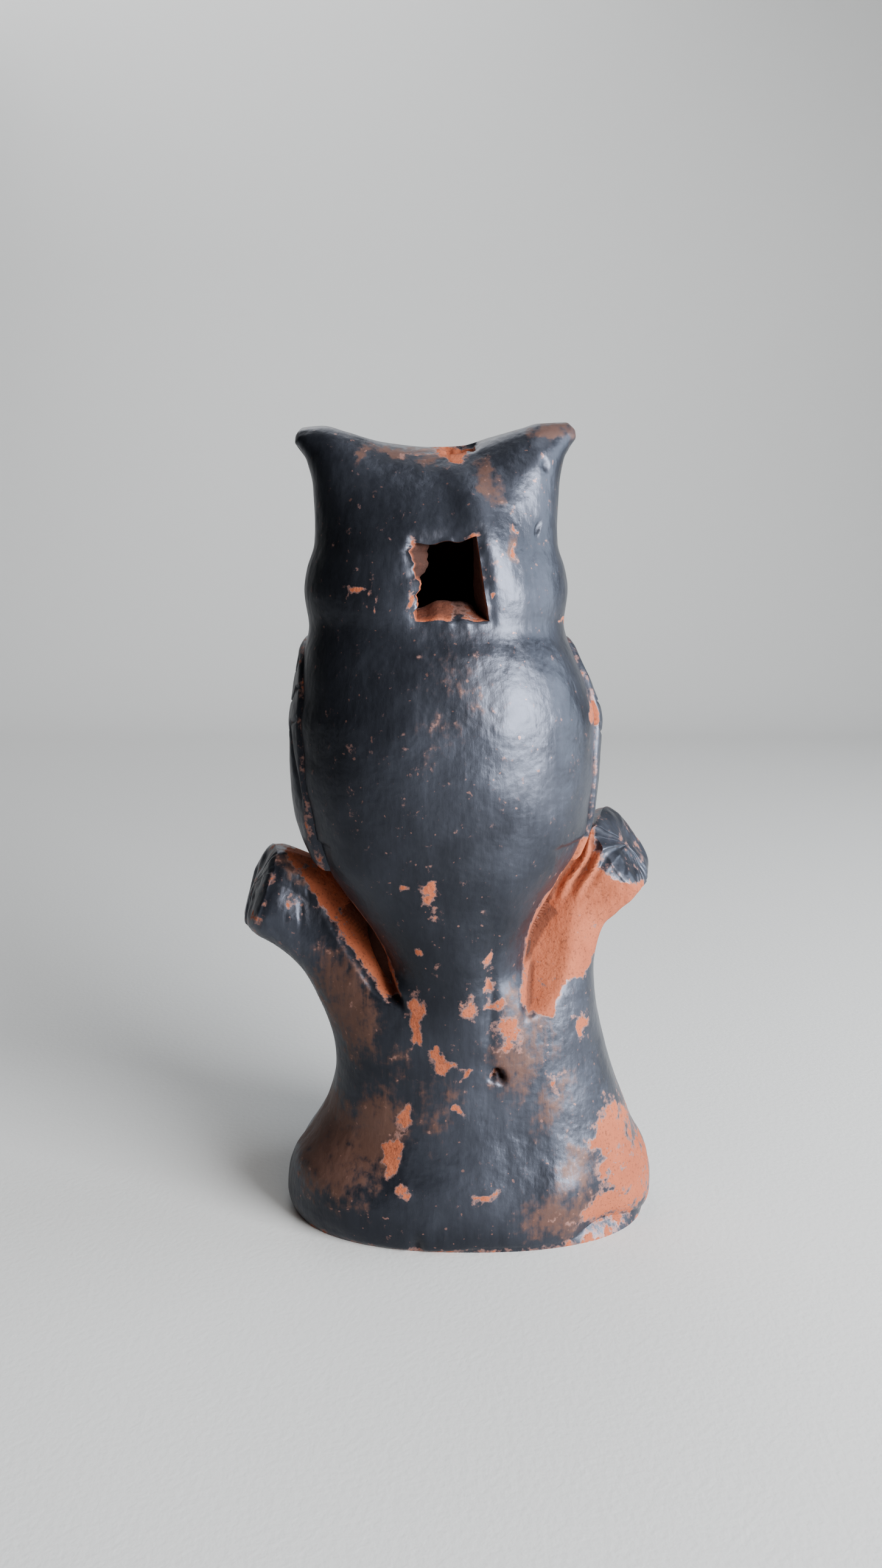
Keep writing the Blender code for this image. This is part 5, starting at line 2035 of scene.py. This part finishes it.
@dataclass
class Studio:
    """Floor, lights and camera round the figure."""

    floor: bpy.types.Material
    near: float = 1.8
    far: float = -0.55
    sweep: float = 0.35
    tall: float = 1.6
    camera_place: tuple[float, float, float] = (4.8, 196.0, 110.0)
    camera_pitch: float = 10.6
    lens: float = 27.95
    sensor: float = 36.0
    nearest: float = 0.01
    sky: tuple[float, float, float] = (0.80, 0.88, 1.0)
    sky_strength: float = 0.03

    def build(self) -> None:
        """Sets up the stage."""
        self.lay_floor()
        self.light()
        self.aim_camera()

    def lay_floor(self) -> None:
        """A floor that sweeps up behind the figure: a straight run, a quarter circle and a wall.

        The profile in y and z is carried along x.
        """
        bend = np.linspace(0.0, math.pi / 2, 40)
        y = np.concatenate(([self.near], self.far - self.sweep * np.sin(bend), [self.far - self.sweep]))
        z = np.concatenate(([0.0], self.sweep * (1 - np.cos(bend)), [self.tall]))
        across = np.linspace(-self.near, self.near, 5)
        grid = np.stack(
            np.broadcast_arrays(across[None] * 1.0, y[:, None], z[:, None]), axis=-1
        ).reshape(-1, 3)
        count = len(across)
        index = np.arange(len(grid)).reshape(-1, count)
        quads = np.stack((index[:-1, :-1], index[:-1, 1:], index[1:, 1:], index[1:, :-1]), axis=-1)
        mesh = bpy.data.meshes.new("floor")
        mesh.from_pydata(grid.tolist(), [], quads.reshape(-1, 4)[:, ::-1].tolist())
        mesh.shade_smooth()
        mesh.materials.append(self.floor)
        floor = bpy.data.objects.new("floor", mesh)
        bpy.context.scene.collection.objects.link(floor)

    def light(self) -> None:
        """Area lights and a dim even sky."""
        for number, lamp in enumerate(LAMPS):
            light = bpy.data.lights.new(f"soft_light_{number}", "AREA")
            light.shape = "RECTANGLE"
            light.size, light.size_y = lamp.size
            light.energy, light.color = lamp.watts, lamp.colour
            holder = bpy.data.objects.new(light.name, light)
            at = Vector(lamp.place) * MM
            turn = (Vector(lamp.aim) * MM - at).to_track_quat("-Z", "Y")
            holder.matrix_world = Matrix.Translation(at) @ turn.to_matrix().to_4x4()
            bpy.context.scene.collection.objects.link(holder)
        world = bpy.data.worlds.new("sky")
        world.use_nodes = True
        background = world.node_tree.nodes["Background"]
        background.inputs["Color"].default_value = (*self.sky, 1.0)
        background.inputs["Strength"].default_value = self.sky_strength
        bpy.context.scene.world = world

    def aim_camera(self) -> None:
        """Looks at the owl's back from a little above, close to, with a short lens."""
        data = bpy.data.cameras.new("camera")
        data.lens = self.lens
        data.sensor_width = self.sensor
        data.clip_start = self.nearest
        camera = bpy.data.objects.new("camera", data)
        camera.location = Vector(self.camera_place) * MM
        camera.rotation_euler = (math.radians(90 - self.camera_pitch), 0.0, math.pi)
        bpy.context.scene.collection.objects.link(camera)
        bpy.context.scene.camera = camera


# ---------------------------------------------------------------- all together

LEFT_WING = (
    (-2.0, 97.6), (4.6, 94.4), (8.6, 87.5), (10.2, 78.0), (10.6, 69.0), (9.2, 61.0), (6.4, 67.5),
    (0.5, 74.5), (-6.5, 77.5), (-10.8, 82.5), (-11.8, 89.0), (-8.0, 94.8),
)
RIGHT_WING = (
    (-2.0, 97.4), (1.8, 94.0), (4.4, 86.5), (5.2, 77.0), (5.0, 68.0), (4.2, 61.5), (2.0, 68.5),
    (-2.5, 74.5), (-7.5, 77.5), (-11.0, 82.5), (-11.8, 89.0), (-8.0, 94.8),
)


def main() -> None:
    """Builds every sub-assembly in order, then the studio."""
    terracotta = Terracotta()
    clay = terracotta.material()
    graphite = BurnishedGraphite(terracotta).material()
    Body(graphite, clay).build()
    for limb in LIMBS:
        Branch(limb, graphite).build()
    Wing(Side.LEFT, graphite, LEFT_WING).build()
    Wing(Side.RIGHT, graphite, RIGHT_WING).build()
    Face(graphite).build()
    for side in Side:
        Foot(side, graphite).build()
    Studio(PaleFloor().material()).build()


if __name__ == "__main__":
    logging.basicConfig(level=logging.INFO, format="%(name)s: %(message)s")
    main()
